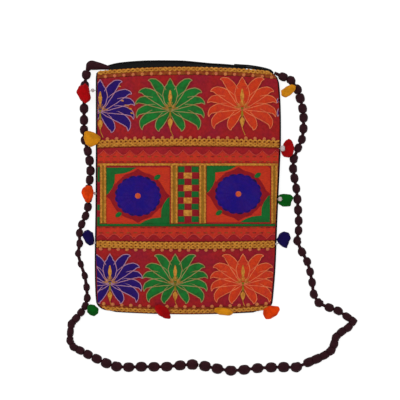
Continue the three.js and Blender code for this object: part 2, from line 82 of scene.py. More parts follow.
CLOTH_GLOSS = 0.12
CLOTH_SHEEN = 0.03
THREAD_ROUGHNESS = 0.5
THREADS_PER_CENTIMETRE = 22.0
FELT_SHEEN = 0.06
SHEEN_ROUGHNESS = 0.4


def srgb(red, green, blue):
    """A colour of 0 to 255 as the linear numbers that a shader takes."""
    def channel(value):
        value /= 255
        return value / 12.92 if value <= 0.04045 else ((value + 0.055) / 1.055) ** 2.4
    return tuple(channel(value) for value in (red, green, blue))


def toned(dye, share):
    """A darker or lighter cast of a dye."""
    return tuple(channel * share for channel in dye)


def tint(name, description, red, green, blue):
    return FloatVectorProperty(
        name=name, description=description, default=srgb(red, green, blue),
        size=3, min=0, max=1, subtype="COLOR",
    )


def length_mm(name, description, default):
    return FloatProperty(name=name, description=description, default=default, min=0.01, unit="NONE")


class BagColours(bpy.types.PropertyGroup):
    """Dyes of the bag's cloths, threads and felts"""

    black_cloth: tint("Black cloth", "Plain cotton of the two panels", 17, 16, 17)
    lotus_ground: tint("Lotus ribbon", "Ground of the two lotus ribbons", 162, 26, 26)
    lotus_flush: tint("Lotus ribbon flush", "Second dye in the lotus ribbons", 146, 20, 42)
    strip_ground: tint("Strip ground", "Maroon of the scalloped strips", 156, 22, 30)
    strip_flush: tint("Strip flush", "Second dye of the scalloped strips", 160, 28, 40)
    scallop: tint("Scallops", "Orange red fans of the strips", 196, 46, 32)
    scallop_edge: tint("Scallop edge", "Pink red thread round the fans", 205, 70, 62)
    square_ground: tint("Square ground", "Orange ground of the squares", 205, 55, 25)
    star: tint("Star", "Maroon star behind a round flower", 142, 16, 30)
    disc: tint("Round flower", "Blue violet of the round flowers", 26, 4, 128)
    disc_flush: tint("Round flower flush", "Violet streaks of the round flowers", 42, 6, 122)
    disc_edge: tint("Round flower edge", "Dark thread round the round flowers", 30, 8, 62)
    disc_eye: tint("Flower eye", "Orange dot in a round flower", 222, 84, 44)
    green: tint("Green thread", "Green of the squares and checks", 16, 108, 44)
    green_dark: tint("Green shade", "Darker green thread", 32, 84, 34)
    violet_petal: tint("Violet petal", "Violet lotus petals", 38, 8, 108)
    violet_edge: tint("Violet outline", "Cord round the violet petals", 184, 140, 172)
    green_petal: tint("Green petal", "Green lotus petals", 20, 122, 44)
    green_edge: tint("Green outline", "Cord round the green petals", 172, 150, 100)
    orange_petal: tint("Orange petal", "Orange lotus petals", 214, 62, 20)
    orange_edge: tint("Orange outline", "Cord round the orange petals", 242, 134, 86)
    gold: tint("Gold thread", "Gold cords and spears", 220, 152, 58)
    gold_dark: tint("Gold shade", "Shaded gold thread of the braids", 170, 98, 28)
    braid_ground: tint("Braid ground", "Red brown tape under the gold braids", 132, 44, 18)
    olive: tint("Olive thread", "Stems of the lotuses", 158, 128, 30)
    bar_middle: tint("Bar middle", "Groove down the middle of a gold bar", 160, 112, 32)
    salmon: tint("Salmon dots", "Knots along the gold braids", 222, 122, 84)
    strap: tint("Strap", "Dark maroon tube over the beads", 44, 12, 20)
    zip_black: tint("Zip", "Black tape, coil and slider", 14, 14, 15)
    felt_red: tint("Red felt", "Red buds", 178, 0, 6)
    felt_yellow: tint("Yellow felt", "Yellow buds", 228, 146, 18)
    felt_orange: tint("Orange felt", "Orange buds", 238, 66, 0)
    felt_navy: tint("Navy felt", "Navy buds", 20, 8, 78)
    felt_green: tint("Green felt", "Green buds", 0, 92, 18)
    seed_bead: tint("Seed beads", "White beads at the buds", 208, 198, 196)


class BagSizes(bpy.types.PropertyGroup):
    """Sizes of the threads, cords and pleats, in millimetres"""

    petal_dome: length_mm("Petal dome", "How far a petal's stitches stand up", 0.5)
    outline_radius: length_mm("Outline radius", "Radius of the cord round a petal", 0.45)
    knot_radius: length_mm("Knot radius", "Radius of a knot of the braids", 2.0)
    scallop_pitch: length_mm("Scallop pitch", "From one fan of a strip to the next", 13.2)
    coil_pitch: length_mm("Coil pitch", "From one turn of the zip's coil to the next", 1.1)
    pucker: length_mm("Pucker", "Height of the dents in the front cloth", 0.45)
    pleats: IntProperty(name="Pleats", description="Pleats round a bead of the strap", default=9, min=3)


def colours():
    return bpy.context.scene.bag_colours


def sizes():
    return bpy.context.scene.bag_sizes


# Shader groups that more than one finish uses


def node(tree, kind, **settings):
    made = tree.nodes.new(kind)
    for key, value in settings.items():
        setattr(made, key, value)
    return made


def sums(tree, operation, first, second=None):
    """A Math node; each operand is a number or a socket."""
    made = node(tree, "ShaderNodeMath", operation=operation)
    for socket, value in zip(made.inputs, (first, second)):
        if isinstance(value, (int, float)):
            socket.default_value = value
        elif value is not None:
            tree.links.new(value, socket)
    return made.outputs[0]


def new_group(name, inputs, outputs):
    tree = bpy.data.node_groups.new(name, "ShaderNodeTree")
    for label, kind, default in inputs:
        socket = tree.interface.new_socket(label, in_out="INPUT", socket_type="NodeSocket" + kind)
        if default is not None:
            socket.default_value = default
    for label, kind in outputs:
        tree.interface.new_socket(label, in_out="OUTPUT", socket_type="NodeSocket" + kind)
    return tree, node(tree, "NodeGroupInput"), node(tree, "NodeGroupOutput")


def noise_node(tree, vector, scale, detail=3.0):
    made = node(tree, "ShaderNodeTexNoise")
    tree.links.new(vector, made.inputs["Vector"])
    made.inputs["Detail"].default_value = detail
    if isinstance(scale, (int, float)):
        made.inputs["Scale"].default_value = scale
    else:
        tree.links.new(scale, made.inputs["Scale"])
    return made.outputs["Fac"]


def weave_group():
    """Over and under of a plain weave, with uneven yarns."""
    tree, given, out = new_group(
        "Plain Weave",
        [("Vector", "Vector", None), ("Yarns per metre", "Float", 1400.0)],
        [("Height", "Float"), ("Yarn", "Float")],
    )
    split = node(tree, "ShaderNodeSeparateXYZ")
    tree.links.new(given.outputs["Vector"], split.inputs[0])
    turns = sums(tree, "MULTIPLY", given.outputs["Yarns per metre"], math.pi)
    along = sums(tree, "SINE", sums(tree, "MULTIPLY", split.outputs[0], turns))
    across = sums(tree, "SINE", sums(tree, "MULTIPLY", split.outputs[1], turns))
    cross = sums(tree, "MULTIPLY", along, across)
    uneven = noise_node(tree, given.outputs["Vector"], 380.0, 2.0)
    height = sums(tree, "ADD", sums(tree, "MULTIPLY", cross, 0.35), uneven)
    tree.links.new(height, out.inputs["Height"])
    tree.links.new(uneven, out.inputs["Yarn"])
    return tree


def dye_group():
    """Two dyes that run into each other in soft patches."""
    tree, given, out = new_group(
        "Uneven Dye",
        [
            ("Vector", "Vector", None), ("Dye", "Color", None), ("Second dye", "Color", None),
            ("Patches per metre", "Float", 60.0), ("Share", "Float", 0.5),
        ],
        [("Colour", "Color")],
    )
    patches = noise_node(tree, given.outputs["Vector"], given.outputs["Patches per metre"], 4.0)
    soft = node(tree, "ShaderNodeMapRange", interpolation_type="SMOOTHSTEP")
    tree.links.new(patches, soft.inputs["Value"])
    soft.inputs["From Min"].default_value = 0.36
    soft.inputs["From Max"].default_value = 0.66
    mix = node(tree, "ShaderNodeMix", data_type="RGBA")
    tree.links.new(sums(tree, "MULTIPLY", soft.outputs[0], given.outputs["Share"]), mix.inputs["Factor"])
    tree.links.new(given.outputs["Dye"], mix.inputs["A"])
    tree.links.new(given.outputs["Second dye"], mix.inputs["B"])
    tree.links.new(mix.outputs["Result"], out.inputs["Colour"])
    return tree


def stitch_group():
    """Satin stitches laid side by side across a shape's length, from its stitch map."""
    tree, given, out = new_group(
        "Satin Stitch",
        [("Stitch map", "Vector", None), ("Threads per centimetre", "Float", THREADS_PER_CENTIMETRE)],
        [("Height", "Float"), ("Thread", "Float")],
    )
    split = node(tree, "ShaderNodeSeparateXYZ")
    tree.links.new(given.outputs["Stitch map"], split.inputs[0])
    wander = noise_node(tree, given.outputs["Stitch map"], 3.0, 2.0)
    place = sums(tree, "ADD", split.outputs[0], sums(tree, "MULTIPLY", wander, 0.06))
    turns = sums(tree, "MULTIPLY", given.outputs["Threads per centimetre"], 2 * math.pi)
    wave = sums(tree, "SINE", sums(tree, "MULTIPLY", place, turns))
    stretch = node(tree, "ShaderNodeMapping")
    stretch.inputs["Scale"].default_value = (26.0, 2.5, 1.0)
    tree.links.new(given.outputs["Stitch map"], stretch.inputs["Vector"])
    thread = noise_node(tree, stretch.outputs[0], 1.0, 2.0)
    height = sums(tree, "ADD", sums(tree, "MULTIPLY", wave, 0.3), thread)
    tree.links.new(height, out.inputs["Height"])
    tree.links.new(thread, out.inputs["Thread"])
    return tree


def fuzz_group():
    """Matted wool: a fine fuzz over soft lumps."""
    tree, given, out = new_group(
        "Felt Fuzz",
        [("Vector", "Vector", None), ("Fuzz per metre", "Float", 1500.0)],
        [("Height", "Float"), ("Fuzz", "Float")],
    )
    fine = noise_node(tree, given.outputs["Vector"], given.outputs["Fuzz per metre"], 5.0)
    lumps = noise_node(tree, given.outputs["Vector"], 240.0, 2.0)
    height = sums(tree, "ADD", sums(tree, "MULTIPLY", fine, 0.5), lumps)
    tree.links.new(height, out.inputs["Height"])
    tree.links.new(fine, out.inputs["Fuzz"])
    return tree


def shared_group(name, build):
    return bpy.data.node_groups.get(name) or build()


def begin_material(name, roughness, sheen=0.0):
    """An empty finish: its tree, its shader and its object coordinates."""
    material = bpy.data.materials.new(name)
    material.use_nodes = True
    tree = material.node_tree
    shader = tree.nodes["Principled BSDF"]
    shader.inputs["Roughness"].default_value = roughness
    shader.inputs["Sheen Weight"].default_value = sheen
    shader.inputs["Sheen Roughness"].default_value = SHEEN_ROUGHNESS
    shader.inputs["Specular IOR Level"].default_value = CLOTH_GLOSS
    place = node(tree, "ShaderNodeTexCoord")
    return material, tree, shader, place


def place_group(tree, group, **inputs):
    made = node(tree, "ShaderNodeGroup", node_tree=group)
    for label, value in inputs.items():
        socket = made.inputs[label.replace("_", " ")]
        if isinstance(value, bpy.types.NodeSocket):
            tree.links.new(value, socket)
        else:
            socket.default_value = value
    return made.outputs


def dyed(tree, vector, dye, second, patches=60.0, share=0.5):
    group = shared_group("Uneven Dye", dye_group)
    return place_group(
        tree, group, Vector=vector, Dye=(*dye, 1), Second_dye=(*second, 1),
        Patches_per_metre=patches, Share=share,
    )["Colour"]


def shaded(tree, colour, mask, low, high):
    """The colour, made darker where the mask is low and lighter where it is high."""
    span = node(tree, "ShaderNodeMapRange")
    tree.links.new(mask, span.inputs["Value"])
    span.inputs["From Min"].default_value = 0.3
    span.inputs["From Max"].default_value = 0.7
    span.inputs["To Min"].default_value = low
    span.inputs["To Max"].default_value = high
    mix = node(tree, "ShaderNodeVectorMath", operation="SCALE")
    tree.links.new(colour, mix.inputs[0])
    tree.links.new(span.outputs[0], mix.inputs["Scale"])
    return mix.outputs[0]


def raise_bump(tree, shader, height, distance):
    bump = node(tree, "ShaderNodeBump")
    bump.inputs["Distance"].default_value = distance
    tree.links.new(height, bump.inputs["Height"])
    tree.links.new(bump.outputs[0], shader.inputs["Normal"])


def cloth_material(name, dye, second, yarns, roughness, patches=60.0, share=0.6):
    """Woven cloth, made once for each name."""
    if name in bpy.data.materials:
        return bpy.data.materials[name]
    material, tree, shader, place = begin_material(name, roughness, CLOTH_SHEEN)
    group = shared_group("Plain Weave", weave_group)
    weave = place_group(tree, group, Vector=place.outputs["Object"], Yarns_per_metre=yarns)
    colour = dyed(tree, place.outputs["Object"], dye, second, patches, share)
    colour = shaded(tree, colour, weave["Yarn"], 0.82, 1.16)
    tree.links.new(colour, shader.inputs["Base Color"])
    raise_bump(tree, shader, weave["Height"], 0.00018)
    return material


def thread_material(name, dye, second, share=0.6, patches=180.0):
    """Embroidery thread, made once for each name."""
    if name in bpy.data.materials:
        return bpy.data.materials[name]
    material, tree, shader, place = begin_material(name, THREAD_ROUGHNESS, CLOTH_SHEEN)
    group = shared_group("Satin Stitch", stitch_group)
    stitch = place_group(
        tree, group, Stitch_map=place.outputs["UV"], Threads_per_centimetre=THREADS_PER_CENTIMETRE,
    )
    colour = dyed(tree, place.outputs["Object"], dye, second, patches, share)
    colour = shaded(tree, colour, stitch["Thread"], 0.8, 1.2)
    tree.links.new(colour, shader.inputs["Base Color"])
    raise_bump(tree, shader, stitch["Height"], 0.00016)
    return material


def felt_material(name, dye):
    material, tree, shader, place = begin_material(name, 0.9, FELT_SHEEN)
    group = shared_group("Felt Fuzz", fuzz_group)
    fuzz = place_group(tree, group, Vector=place.outputs["Object"])
    colour = dyed(tree, place.outputs["Object"], dye, toned(dye, 0.62), 150.0, 0.8)
    colour = shaded(tree, colour, fuzz["Fuzz"], 0.84, 1.12)
    tree.links.new(colour, shader.inputs["Base Color"])
    raise_bump(tree, shader, fuzz["Height"], 0.0004)
    return material


def glazed_material(name, dye, roughness, coat):
    """Glass bead or enamelled metal with fine scratches."""
    material, tree, shader, place = begin_material(name, roughness)
    shader.inputs["Coat Weight"].default_value = coat
    scratches = noise_node(tree, place.outputs["Object"], 900.0, 4.0)
    colour = dyed(tree, place.outputs["Object"], dye, toned(dye, 0.8), 300.0, 0.5)
    tree.links.new(colour, shader.inputs["Base Color"])
    rough = node(tree, "ShaderNodeMapRange")
    tree.links.new(scratches, rough.inputs["Value"])
    rough.inputs["To Min"].default_value = roughness * 0.7
    rough.inputs["To Max"].default_value = roughness * 1.4
    tree.links.new(rough.outputs[0], shader.inputs["Roughness"])
    return material


# Objects


def select_only(obj):
    bpy.ops.object.select_all(action="DESELECT")
    obj.select_set(True)
    bpy.context.view_layer.objects.active = obj


def link_new(name, mesh):
    obj = bpy.data.objects.new(name, mesh)
    bpy.context.scene.collection.objects.link(obj)
    select_only(obj)
    return obj


def modify(obj, kind, **settings):
    """Adds a modifier and applies it."""
    select_only(obj)
    bpy.ops.object.modifier_add(type=kind)
    modifier = obj.modifiers[-1]
    for key, value in settings.items():
        setattr(modifier, key, value)
    bpy.ops.object.modifier_apply(modifier=modifier.name)


def subdivide_smooth(obj, levels, **settings):
    modify(obj, "SUBSURF", levels=levels, render_levels=levels, **settings)


def wear(obj, *materials):
    obj.data.materials.clear()
    for material in materials:
        obj.data.materials.append(material)


def as_piece(obj, slot, *nodes):
    """The piece rides on the bag and stands for nodes; its slot is not used."""
    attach(obj, "root")
    if nodes:
        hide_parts(*nodes)
    return obj


def smooth_piece(obj, slot, *nodes, degrees=50):
    shade_smooth(obj, degrees)
    return as_piece(obj, slot, *nodes)


def joined_copy(source, name, flatness=40):
    """A copy of a node as one body of quads with its points joined."""
    obj = link_new(name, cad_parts[source].data.copy())
    bpy.ops.object.mode_set(mode="EDIT")
    bpy.ops.mesh.select_all(action="SELECT")
    bpy.ops.mesh.remove_doubles(threshold=0.00001)
    bpy.ops.mesh.normals_make_consistent(inside=False)
    bpy.ops.mesh.tris_convert_to_quads(
        face_threshold=math.radians(flatness), shape_threshold=math.radians(80),
    )
    bpy.ops.object.mode_set(mode="OBJECT")
    return obj


def node_sheet(source, name, side):
    """The upper (side 1) or under (side -1) face of a node's cloth, as one open sheet of quads."""
    obj = joined_copy(source, name)
    shape = bmesh.new()
    shape.from_mesh(obj.data)
    others = [face for face in shape.faces if face.normal.z * side < 0.3]
    bmesh.ops.delete(shape, geom=others, context="FACES")
    shape.to_mesh(obj.data)
    shape.free()
    return obj


def shade_smooth(obj, degrees=50):
    select_only(obj)
    bpy.ops.object.shade_smooth_by_angle(angle=math.radians(degrees))


class Ground:
    """The top of the front cloth, which all the needlework lies on."""

    def __init__(self, obj):
        points = [vertex.co / MM for vertex in obj.data.vertices]
        self.tree = BVHTree.FromPolygons(points, [tuple(face.vertices) for face in obj.data.polygons])

    def hit(self, x, y):
        return self.tree.ray_cast(Vector((x, y, 200)), -UP)[0]

    def height(self, x, y):
        found = self.hit(x, y)
        if found is None:
            found = self.tree.find_nearest(Vector((x, y, SEAM_HEIGHT + PANEL_WALL)))[0]
        return found.z

    def edge(self, y, side):
        """How far out the cloth reaches at a height y: side is -1 on the left and 1 on the right."""
        inside, outside = 0.0, 110.0
        for _ in range(18):
            middle = (inside + outside) / 2
            if self.hit(side * middle, y) is None:
                outside = middle
            else:
                inside = middle
        return side * inside


ground = {}


# Needlework: closed bodies collected in millimetres and made into one object


class Needlework:
    """Points, stitch map, faces and finishes of one piece of needlework."""

    def __init__(self):
        self.points = []
        self.stitches = []
        self.faces = []
        self.finishes = []

    def add_faces(self, faces, finish):
        self.faces += faces
        self.finishes += [finish] * len(faces)

    def rings(self, rings, stitches, finish):
        """A closed body through rings of points, each ring with its place along the stitch map."""
        first = len(self.points)
        sides = len(rings[0])
        for ring, place in zip(rings, stitches):
            for k, point in enumerate(ring):
                self.points.append(point)
                self.stitches.append((place / 10, k / sides))
        faces = []
        for i in range(len(rings) - 1):
            for k in range(sides):
                a = first + i * sides + k
                b = first + i * sides + (k + 1) % sides
                faces.append((a, b, b + sides, a + sides))
        faces.append(tuple(range(first + sides - 1, first - 1, -1)))
        last = first + (len(rings) - 1) * sides
        faces.append(tuple(range(last, last + sides)))
        self.add_faces(faces, finish)

    def cord(self, path, radius, finish, sides=6, ply=0.0, twist=0.0):
        """A round cord along a path of points; ply is the depth of its strands, twist their pitch."""
        rings = []
        places = []
        travelled = 0.0
        for i, point in enumerate(path):
            before = path[max(i - 1, 0)]
            after = path[min(i + 1, len(path) - 1)]
            forward = (after - before).normalized()
            aside = forward.cross(UP).normalized()
            upward = aside.cross(forward).normalized()
            travelled += (point - before).length
            ring = []
            for k in range(sides):
                angle = 2 * math.pi * k / sides
                strand = 1 + ply * math.cos(2 * (angle - travelled * twist)) if ply else 1
                reach = radius * strand
                ring.append(point + aside * (reach * math.cos(angle)) + upward * (reach * math.sin(angle)))
            rings.append(ring)
            places.append(travelled)
        self.rings(rings, places, finish)

    def knot(self, x, y, radius, height, lift, finish, sides=12, layers=4):
        """A domed dot of thread on the front."""
        rings = []
        for j in range(layers + 1):
            tilt = math.pi / 2 * j / layers
            reach = max(radius * math.cos(tilt), radius * 0.04)
            rings.append([
                self.on_ground(
                    x + reach * math.cos(2 * math.pi * k / sides),
                    y + reach * math.sin(2 * math.pi * k / sides),
                    lift + height * math.sin(tilt),
                )
                for k in range(sides)
            ])
        foot = [point - UP * 0.35 for point in rings[0]]
        self.rings([foot, *rings], [radius * j for j in range(layers + 2)], finish)

    def patch(self, outline, lift, dome, finish, grain=0.0, spacing=2.2, shoulder=1.4, foot=0.35):
        """Stitches that fill an outline, domed from its edge inwards, with a closed underside."""
        outline = spread_points(outline, spacing)
        xs = [point[0] for point in outline]
        ys = [point[1] for point in outline]
        inner = []
        rows = int((max(ys) - min(ys)) / spacing) + 1
        columns = int((max(xs) - min(xs)) / spacing) + 1
        for j in range(rows + 1):
            for i in range(columns + 1):
                x = min(xs) + spacing * (i + 0.5 * (j % 2))
                y = min(ys) + spacing * 0.9 * j
                if inside_outline(x, y, outline) and distance_to(x, y, outline) > spacing * 0.45:
                    inner.append((x, y))
        flat = [Vector(point) for point in outline + inner]
        made = delaunay_2d_cdt(flat, [], [list(range(len(outline)))], 1, 0.00001)
        first = len(self.points)
        cosine, sine = math.cos(math.radians(grain)), math.sin(math.radians(grain))
        for under in (False, True):
            for point in made[0]:
                x, y = point
                share = min(1.0, distance_to(x, y, outline) / shoulder)
                rise = -foot if under else dome * math.sqrt(share * (2 - share))
                self.points.append(self.on_ground(x, y, lift + rise))
                self.stitches.append(((x * cosine + y * sine) / 10, (y * cosine - x * sine) / 10))
        count = len(made[0])
        faces = []
        edges = {}
        for triangle in made[2]:
            corners = list(triangle)
            for a, b in zip(corners, corners[1:] + corners[:1]):
                edges[(a, b)] = True
            faces.append(tuple(first + c for c in corners))
            faces.append(tuple(first + count + c for c in reversed(corners)))
        for a, b in edges:
            if (b, a) not in edges:
                faces.append((first + b, first + a, first + count + a, first + count + b))
        self.add_faces(faces, finish)

    def on_ground(self, x, y, lift):
        return Vector((x, y, ground["front"].height(x, y) + lift))

    def make(self, name, *materials):
        mesh = bpy.data.meshes.new(name)
        mesh.from_pydata([point * MM for point in self.points], [], self.faces)
        layer = mesh.uv_layers.new(name="StitchMap")
        for loop in mesh.loops:
            layer.data[loop.index].uv = self.stitches[loop.vertex_index]
        obj = link_new(name, mesh)
        wear(obj, *materials)
        mesh.polygons.foreach_set("material_index", self.finishes)
        shape = bmesh.new()
        shape.from_mesh(mesh)
        bmesh.ops.recalc_face_normals(shape, faces=shape.faces[:])
        shape.to_mesh(mesh)
        shape.free()
        return obj


def inside_outline(x, y, outline):
    inside = False
    for (x1, y1), (x2, y2) in zip(outline, outline[1:] + outline[:1]):
        if (y1 > y) != (y2 > y) and x < (x2 - x1) * (y - y1) / (y2 - y1) + x1:
            inside = not inside
    return inside


def distance_to(x, y, outline):
    best = 1e9
    for (x1, y1), (x2, y2) in zip(outline, outline[1:] + outline[:1]):
        dx, dy = x2 - x1, y2 - y1
        f = max(0.0, min(1.0, ((x - x1) * dx + (y - y1) * dy) / max(dx * dx + dy * dy, 1e-12)))
        best = min(best, math.hypot(x - x1 - f * dx, y - y1 - f * dy))
    return best


def spread_points(outline, spacing):
    """The outline with points added so that none lie further apart than the spacing."""
    spread = []
    for (x1, y1), (x2, y2) in zip(outline, outline[1:] + outline[:1]):
        steps = max(1, math.ceil(math.hypot(x2 - x1, y2 - y1) / spacing))
        for k in range(steps):
            f = k / steps
            spread.append((x1 + (x2 - x1) * f, y1 + (y2 - y1) * f))
    return spread


def smooth_through(points, steps):
    """A smooth line through a few points, ends included."""
    line = []
    for i in range(len(points) - 1):
        p0 = points[max(i - 1, 0)]
        p1, p2 = points[i], points[i + 1]
        p3 = points[min(i + 2, len(points) - 1)]
        for k in range(steps):
            f = k / steps
            line.append(tuple(
                0.5 * (2 * b + (c - a) * f + (2 * a - 5 * b + 4 * c - d) * f * f
                       + (3 * b - a - 3 * c + d) * f ** 3)
                for a, b, c, d in zip(p0, p1, p2, p3)
            ))
    line.append(tuple(points[-1]))
    return line


def rectangle(left, bottom, right, top):
    return [(left, bottom), (right, bottom), (right, top), (left, top)]


def moved(outline, x, y, half_turn=False):
    side = -1 if half_turn else 1
    return [(x + side * px, y + side * py) for px, py in outline]


def trim_sides(obj, y, reach):
    """Cuts needlework off along the side seams of the front, and closes the cuts."""
    shape = bmesh.new()
    shape.from_mesh(obj.data)
    for side in (-1, 1):
        low = Vector((ground["front"].edge(y - reach, side) - side * TRIM_INSET, y - reach, 0)) * MM
        high = Vector((ground["front"].edge(y + reach, side) - side * TRIM_INSET, y + reach, 0)) * MM
        along = (high - low).normalized()
        outward = Vector((along.y, -along.x, 0)) * side
        bmesh.ops.bisect_plane(
            shape, geom=shape.verts[:] + shape.edges[:] + shape.faces[:],
            plane_co=low, plane_no=outward, clear_outer=True,
        )
        rim = [edge for edge in shape.edges if edge.is_boundary]
        bmesh.ops.holes_fill(shape, edges=rim, sides=0)
    bmesh.ops.recalc_face_normals(shape, faces=shape.faces[:])
    shape.to_mesh(obj.data)
    shape.free()


# Panels


# The size to which the front and the back are cut, and the cord-like fold along their seam: its radius,
# how far it lies in from the edge, the reach of its round corners, and the sag of its lower run
CUT_WIDTH = 184
SEAM_RADIUS = 1.05
SEAM_INSET = 0.5
SEAM_CORNER = 13
SEAM_CORNER_RISE = 4.2
SEAM_SAG = 3.7
DENT_MARGIN = 14  # the dents fade out over this width along the side seams


def dented(x, y):
    """Soft dents of the filled front, and finer puckers over them."""
    broad = noise.noise(Vector((x / 42, y / 42, 1.7)))
    fine = noise.noise(Vector((x / 13, y / 9, 5.3)))
    return sizes().pucker * (broad + 0.35 * fine)


class BAG_OT_panels(bpy.types.Operator):
    """Sew the black front and back and the fold that joins them"""

    bl_idname = "bag.panels"
    bl_label = "Panels"

    def execute(self, context):
        black = cloth_material(
            "Black Cotton", colours().black_cloth, toned(colours().black_cloth, 1.6),
            yarns=1300, roughness=0.85,
        )
        front = node_sheet("front_panel", "front_cloth", 1)
        subdivide_smooth(front, 3, boundary_smooth="PRESERVE_CORNERS")
        plain = Ground(front)
        for vertex in front.data.vertices:
            x, y = vertex.co.x / MM, vertex.co.y / MM
            rim = min(plain.edge(y, 1) - x, x - plain.edge(y, -1)) if abs(x) > 70 else 20
            vertex.co.z += dented(x, y) * MM * max(0.0, min(1.0, rim / DENT_MARGIN))
        ground["front"] = Ground(front)
        modify(front, "SOLIDIFY", thickness=PANEL_WALL * MM, offset=-1)
        wear(front, black)
        smooth_piece(front, "black_cloth", "front_panel")

        back = node_sheet("back_panel", "back_cloth", -1)
        subdivide_smooth(back, 2, boundary_smooth="PRESERVE_CORNERS")
        modify(back, "SOLIDIFY", thickness=BACK_WALL * MM, offset=-1)
        wear(back, black)
        smooth_piece(back, "black_cloth", "back_panel")

        fold = Needlework()
        fold.cord(seam_path(), SEAM_RADIUS, 0, sides=8)
        seam = fold.make("seam_fold", black)
        smooth_piece(seam, "black_cloth")
        return {"FINISHED"}


def seam_path():
    """Down the left side, along the bottom and up the right side of the bag."""
    low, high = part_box("front_panel")
    top = high.y / MM - 6
    bottom = low.y / MM
    corner = SEAM_CORNER
    rise = SEAM_CORNER_RISE
    left = [(ground["front"].edge(y, -1) + SEAM_INSET, y) for y in steps_between(top, bottom + corner, 5)]
    right = [(ground["front"].edge(y, 1) - SEAM_INSET, y) for y in steps_between(bottom + corner, top, 5)]
    arc_steps = 8
    reach = abs(left[-1][0])
    foot = bottom + rise
    round_left = [
        (-reach + corner * (1 - math.cos(a)), foot + corner - rise - (corner - rise) * math.sin(a))
        for a in (math.pi / 2 * k / arc_steps for k in range(1, arc_steps + 1))
    ]
    reach_right = right[0][0]
    round_right = [
        (reach_right - corner * (1 - math.cos(a)), foot + corner - rise - (corner - rise) * math.sin(a))
        for a in (math.pi / 2 * k / arc_steps for k in range(arc_steps, 0, -1))
    ]
    span = steps_between(round_left[-1][0], round_right[0][0], 6)[1:-1]
    middle = [(x, foot - SEAM_SAG * (1 - (x / reach) ** 2)) for x in span]
    line = left + round_left + middle + round_right + right
    return [Vector((x, y, SEAM_HEIGHT + 0.2)) for x, y in line]


def steps_between(start, end, step):
    count = max(2, math.ceil(abs(end - start) / step) + 1)
    return [start + (end - start) * k / (count - 1) for k in range(count)]


# Ribbons


class BAG_OT_ribbons(bpy.types.Operator):
    """Lay the two lotus ribbons and the ribbon of squares on the front"""

    bl_idname = "bag.ribbons"
    bl_label = "Ribbons"

    def execute(self, context):
        lotus = cloth_material(
            "Lotus Ribbon", colours().lotus_ground, colours().lotus_flush,
            yarns=1800, roughness=0.6, patches=46.0, share=0.9,
        )
        strips = cloth_material(
            "Strip Ribbon", colours().strip_ground, colours().strip_flush,
            yarns=1800, roughness=0.6, patches=80.0, share=0.8,
        )
        rows = [
            ("lower_lotus_band", "lower_lotus_ribbon", lotus, "lotus_cloth"),
            ("centre_band", "square_ribbon", strips, "square_cloth"),
            ("upper_lotus_band", "upper_lotus_ribbon", lotus, "lotus_cloth"),
        ]
        for source, name, material, slot in rows:
            ribbon = lay_strip(source, name, RIBBON_TOP, RIBBON_WALL, 3)
            wear(ribbon, material)
            as_piece(ribbon, slot, source)
        return {"FINISHED"}


def lay_strip(source, name, top, wall, levels):
    """A strip of cloth that follows the front, with its wall and softly rounded edges."""
    strip = node_sheet(source, name, 1)
    subdivide_smooth(strip, levels, subdivision_type="SIMPLE")
    for vertex in strip.data.vertices:
        x, y = vertex.co.x / MM, vertex.co.y / MM
        vertex.co.z = (ground["front"].height(x, y) + top) * MM
    modify(strip, "SOLIDIFY", thickness=wall * MM, offset=-1)
    modify(strip, "BEVEL", width=0.0003, segments=2, limit_method="ANGLE")
    shade_smooth(strip)
    return strip


# Gold braids

# Each braid: its node, the side of it on which its knots stand (1 above, -1 below), how far they
# stand from its middle, where the first one is, their pitch, and its pairs of crossing cords. Each
# pair has its place above the middle, its swing and its radius.
BRAIDS = [
    {
        "node": "top_braid", "side": -1, "knots": 2.3, "first": -91.5, "pitch": 9.2,
        "pairs": [(1.8, 1.2, 0.95)],
    },
    {
        "node": "upper_braid", "side": 1, "knots": 5.3, "first": -89.5, "pitch": 9.2,
        "pairs": [(2.2, 1.7, 0.95), (-0.7, 1.1, 0.95)],
    },
    {
        "node": "lower_braid", "side": -1, "knots": 4.4, "first": -87.0, "pitch": 8.76,
        "pairs": [(1.5, 1.4, 0.95), (-1.3, 1.4, 0.95)],
    },
    {
        "node": "bottom_braid", "side": 1, "knots": 3.7, "first": -84.0, "pitch": 9.0,
        "pairs": [(-0.6, 1.2, 0.95)],
    },
]


BRAID_PLY = 0.18  # depth of the two strands of a braid's cord, as a share of its radius
BRAID_TWIST = 1.1
CROSSING_RISE = 0.45  # how far a cord rises where it crosses over the other one
KNOT_HEIGHT = 1.3


class BAG_OT_braids(bpy.types.Operator):
    """Lay the four gold braids with their wavy cords and knots"""

    bl_idname = "bag.braids"
    bl_label = "Braids"

    def execute(self, context):
        gold_cloth = cloth_material(
            "Gold Braid Ground", colours().braid_ground, colours().gold_dark, yarns=1000,
            roughness=0.6, patches=260.0, share=0.5,
        )
        gold = gold_thread()
        salmon = thread_material("Salmon Thread", colours().salmon, colours().gold, share=0.5)
        for braid in BRAIDS:
            ribbon = lay_strip(braid["node"], braid["node"] + "_ground", BRAID_TOP, BRAID_WALL, 3)
            wear(ribbon, gold_cloth)
            as_piece(ribbon, "gold_braid", braid["node"])
            work = Needlework()
            wavy_cords(work, braid)
            knots_along(work, braid)
            obj = work.make(braid["node"] + "_cords", gold, salmon)
            smooth_piece(obj, "gold_braid")
        return {"FINISHED"}


def gold_thread():
    return thread_material("Gold Thread", colours().gold, colours().gold_dark, share=0.75, patches=420.0)


def leaf_thread():
    return thread_material(
        "Leaf Green Thread", colours().green, colours().green_dark, patches=120.0, share=0.5,
    )


def maroon_thread():
    return thread_material("Maroon Thread", colours().star, colours().strip_ground)


BOW_REACH = 70


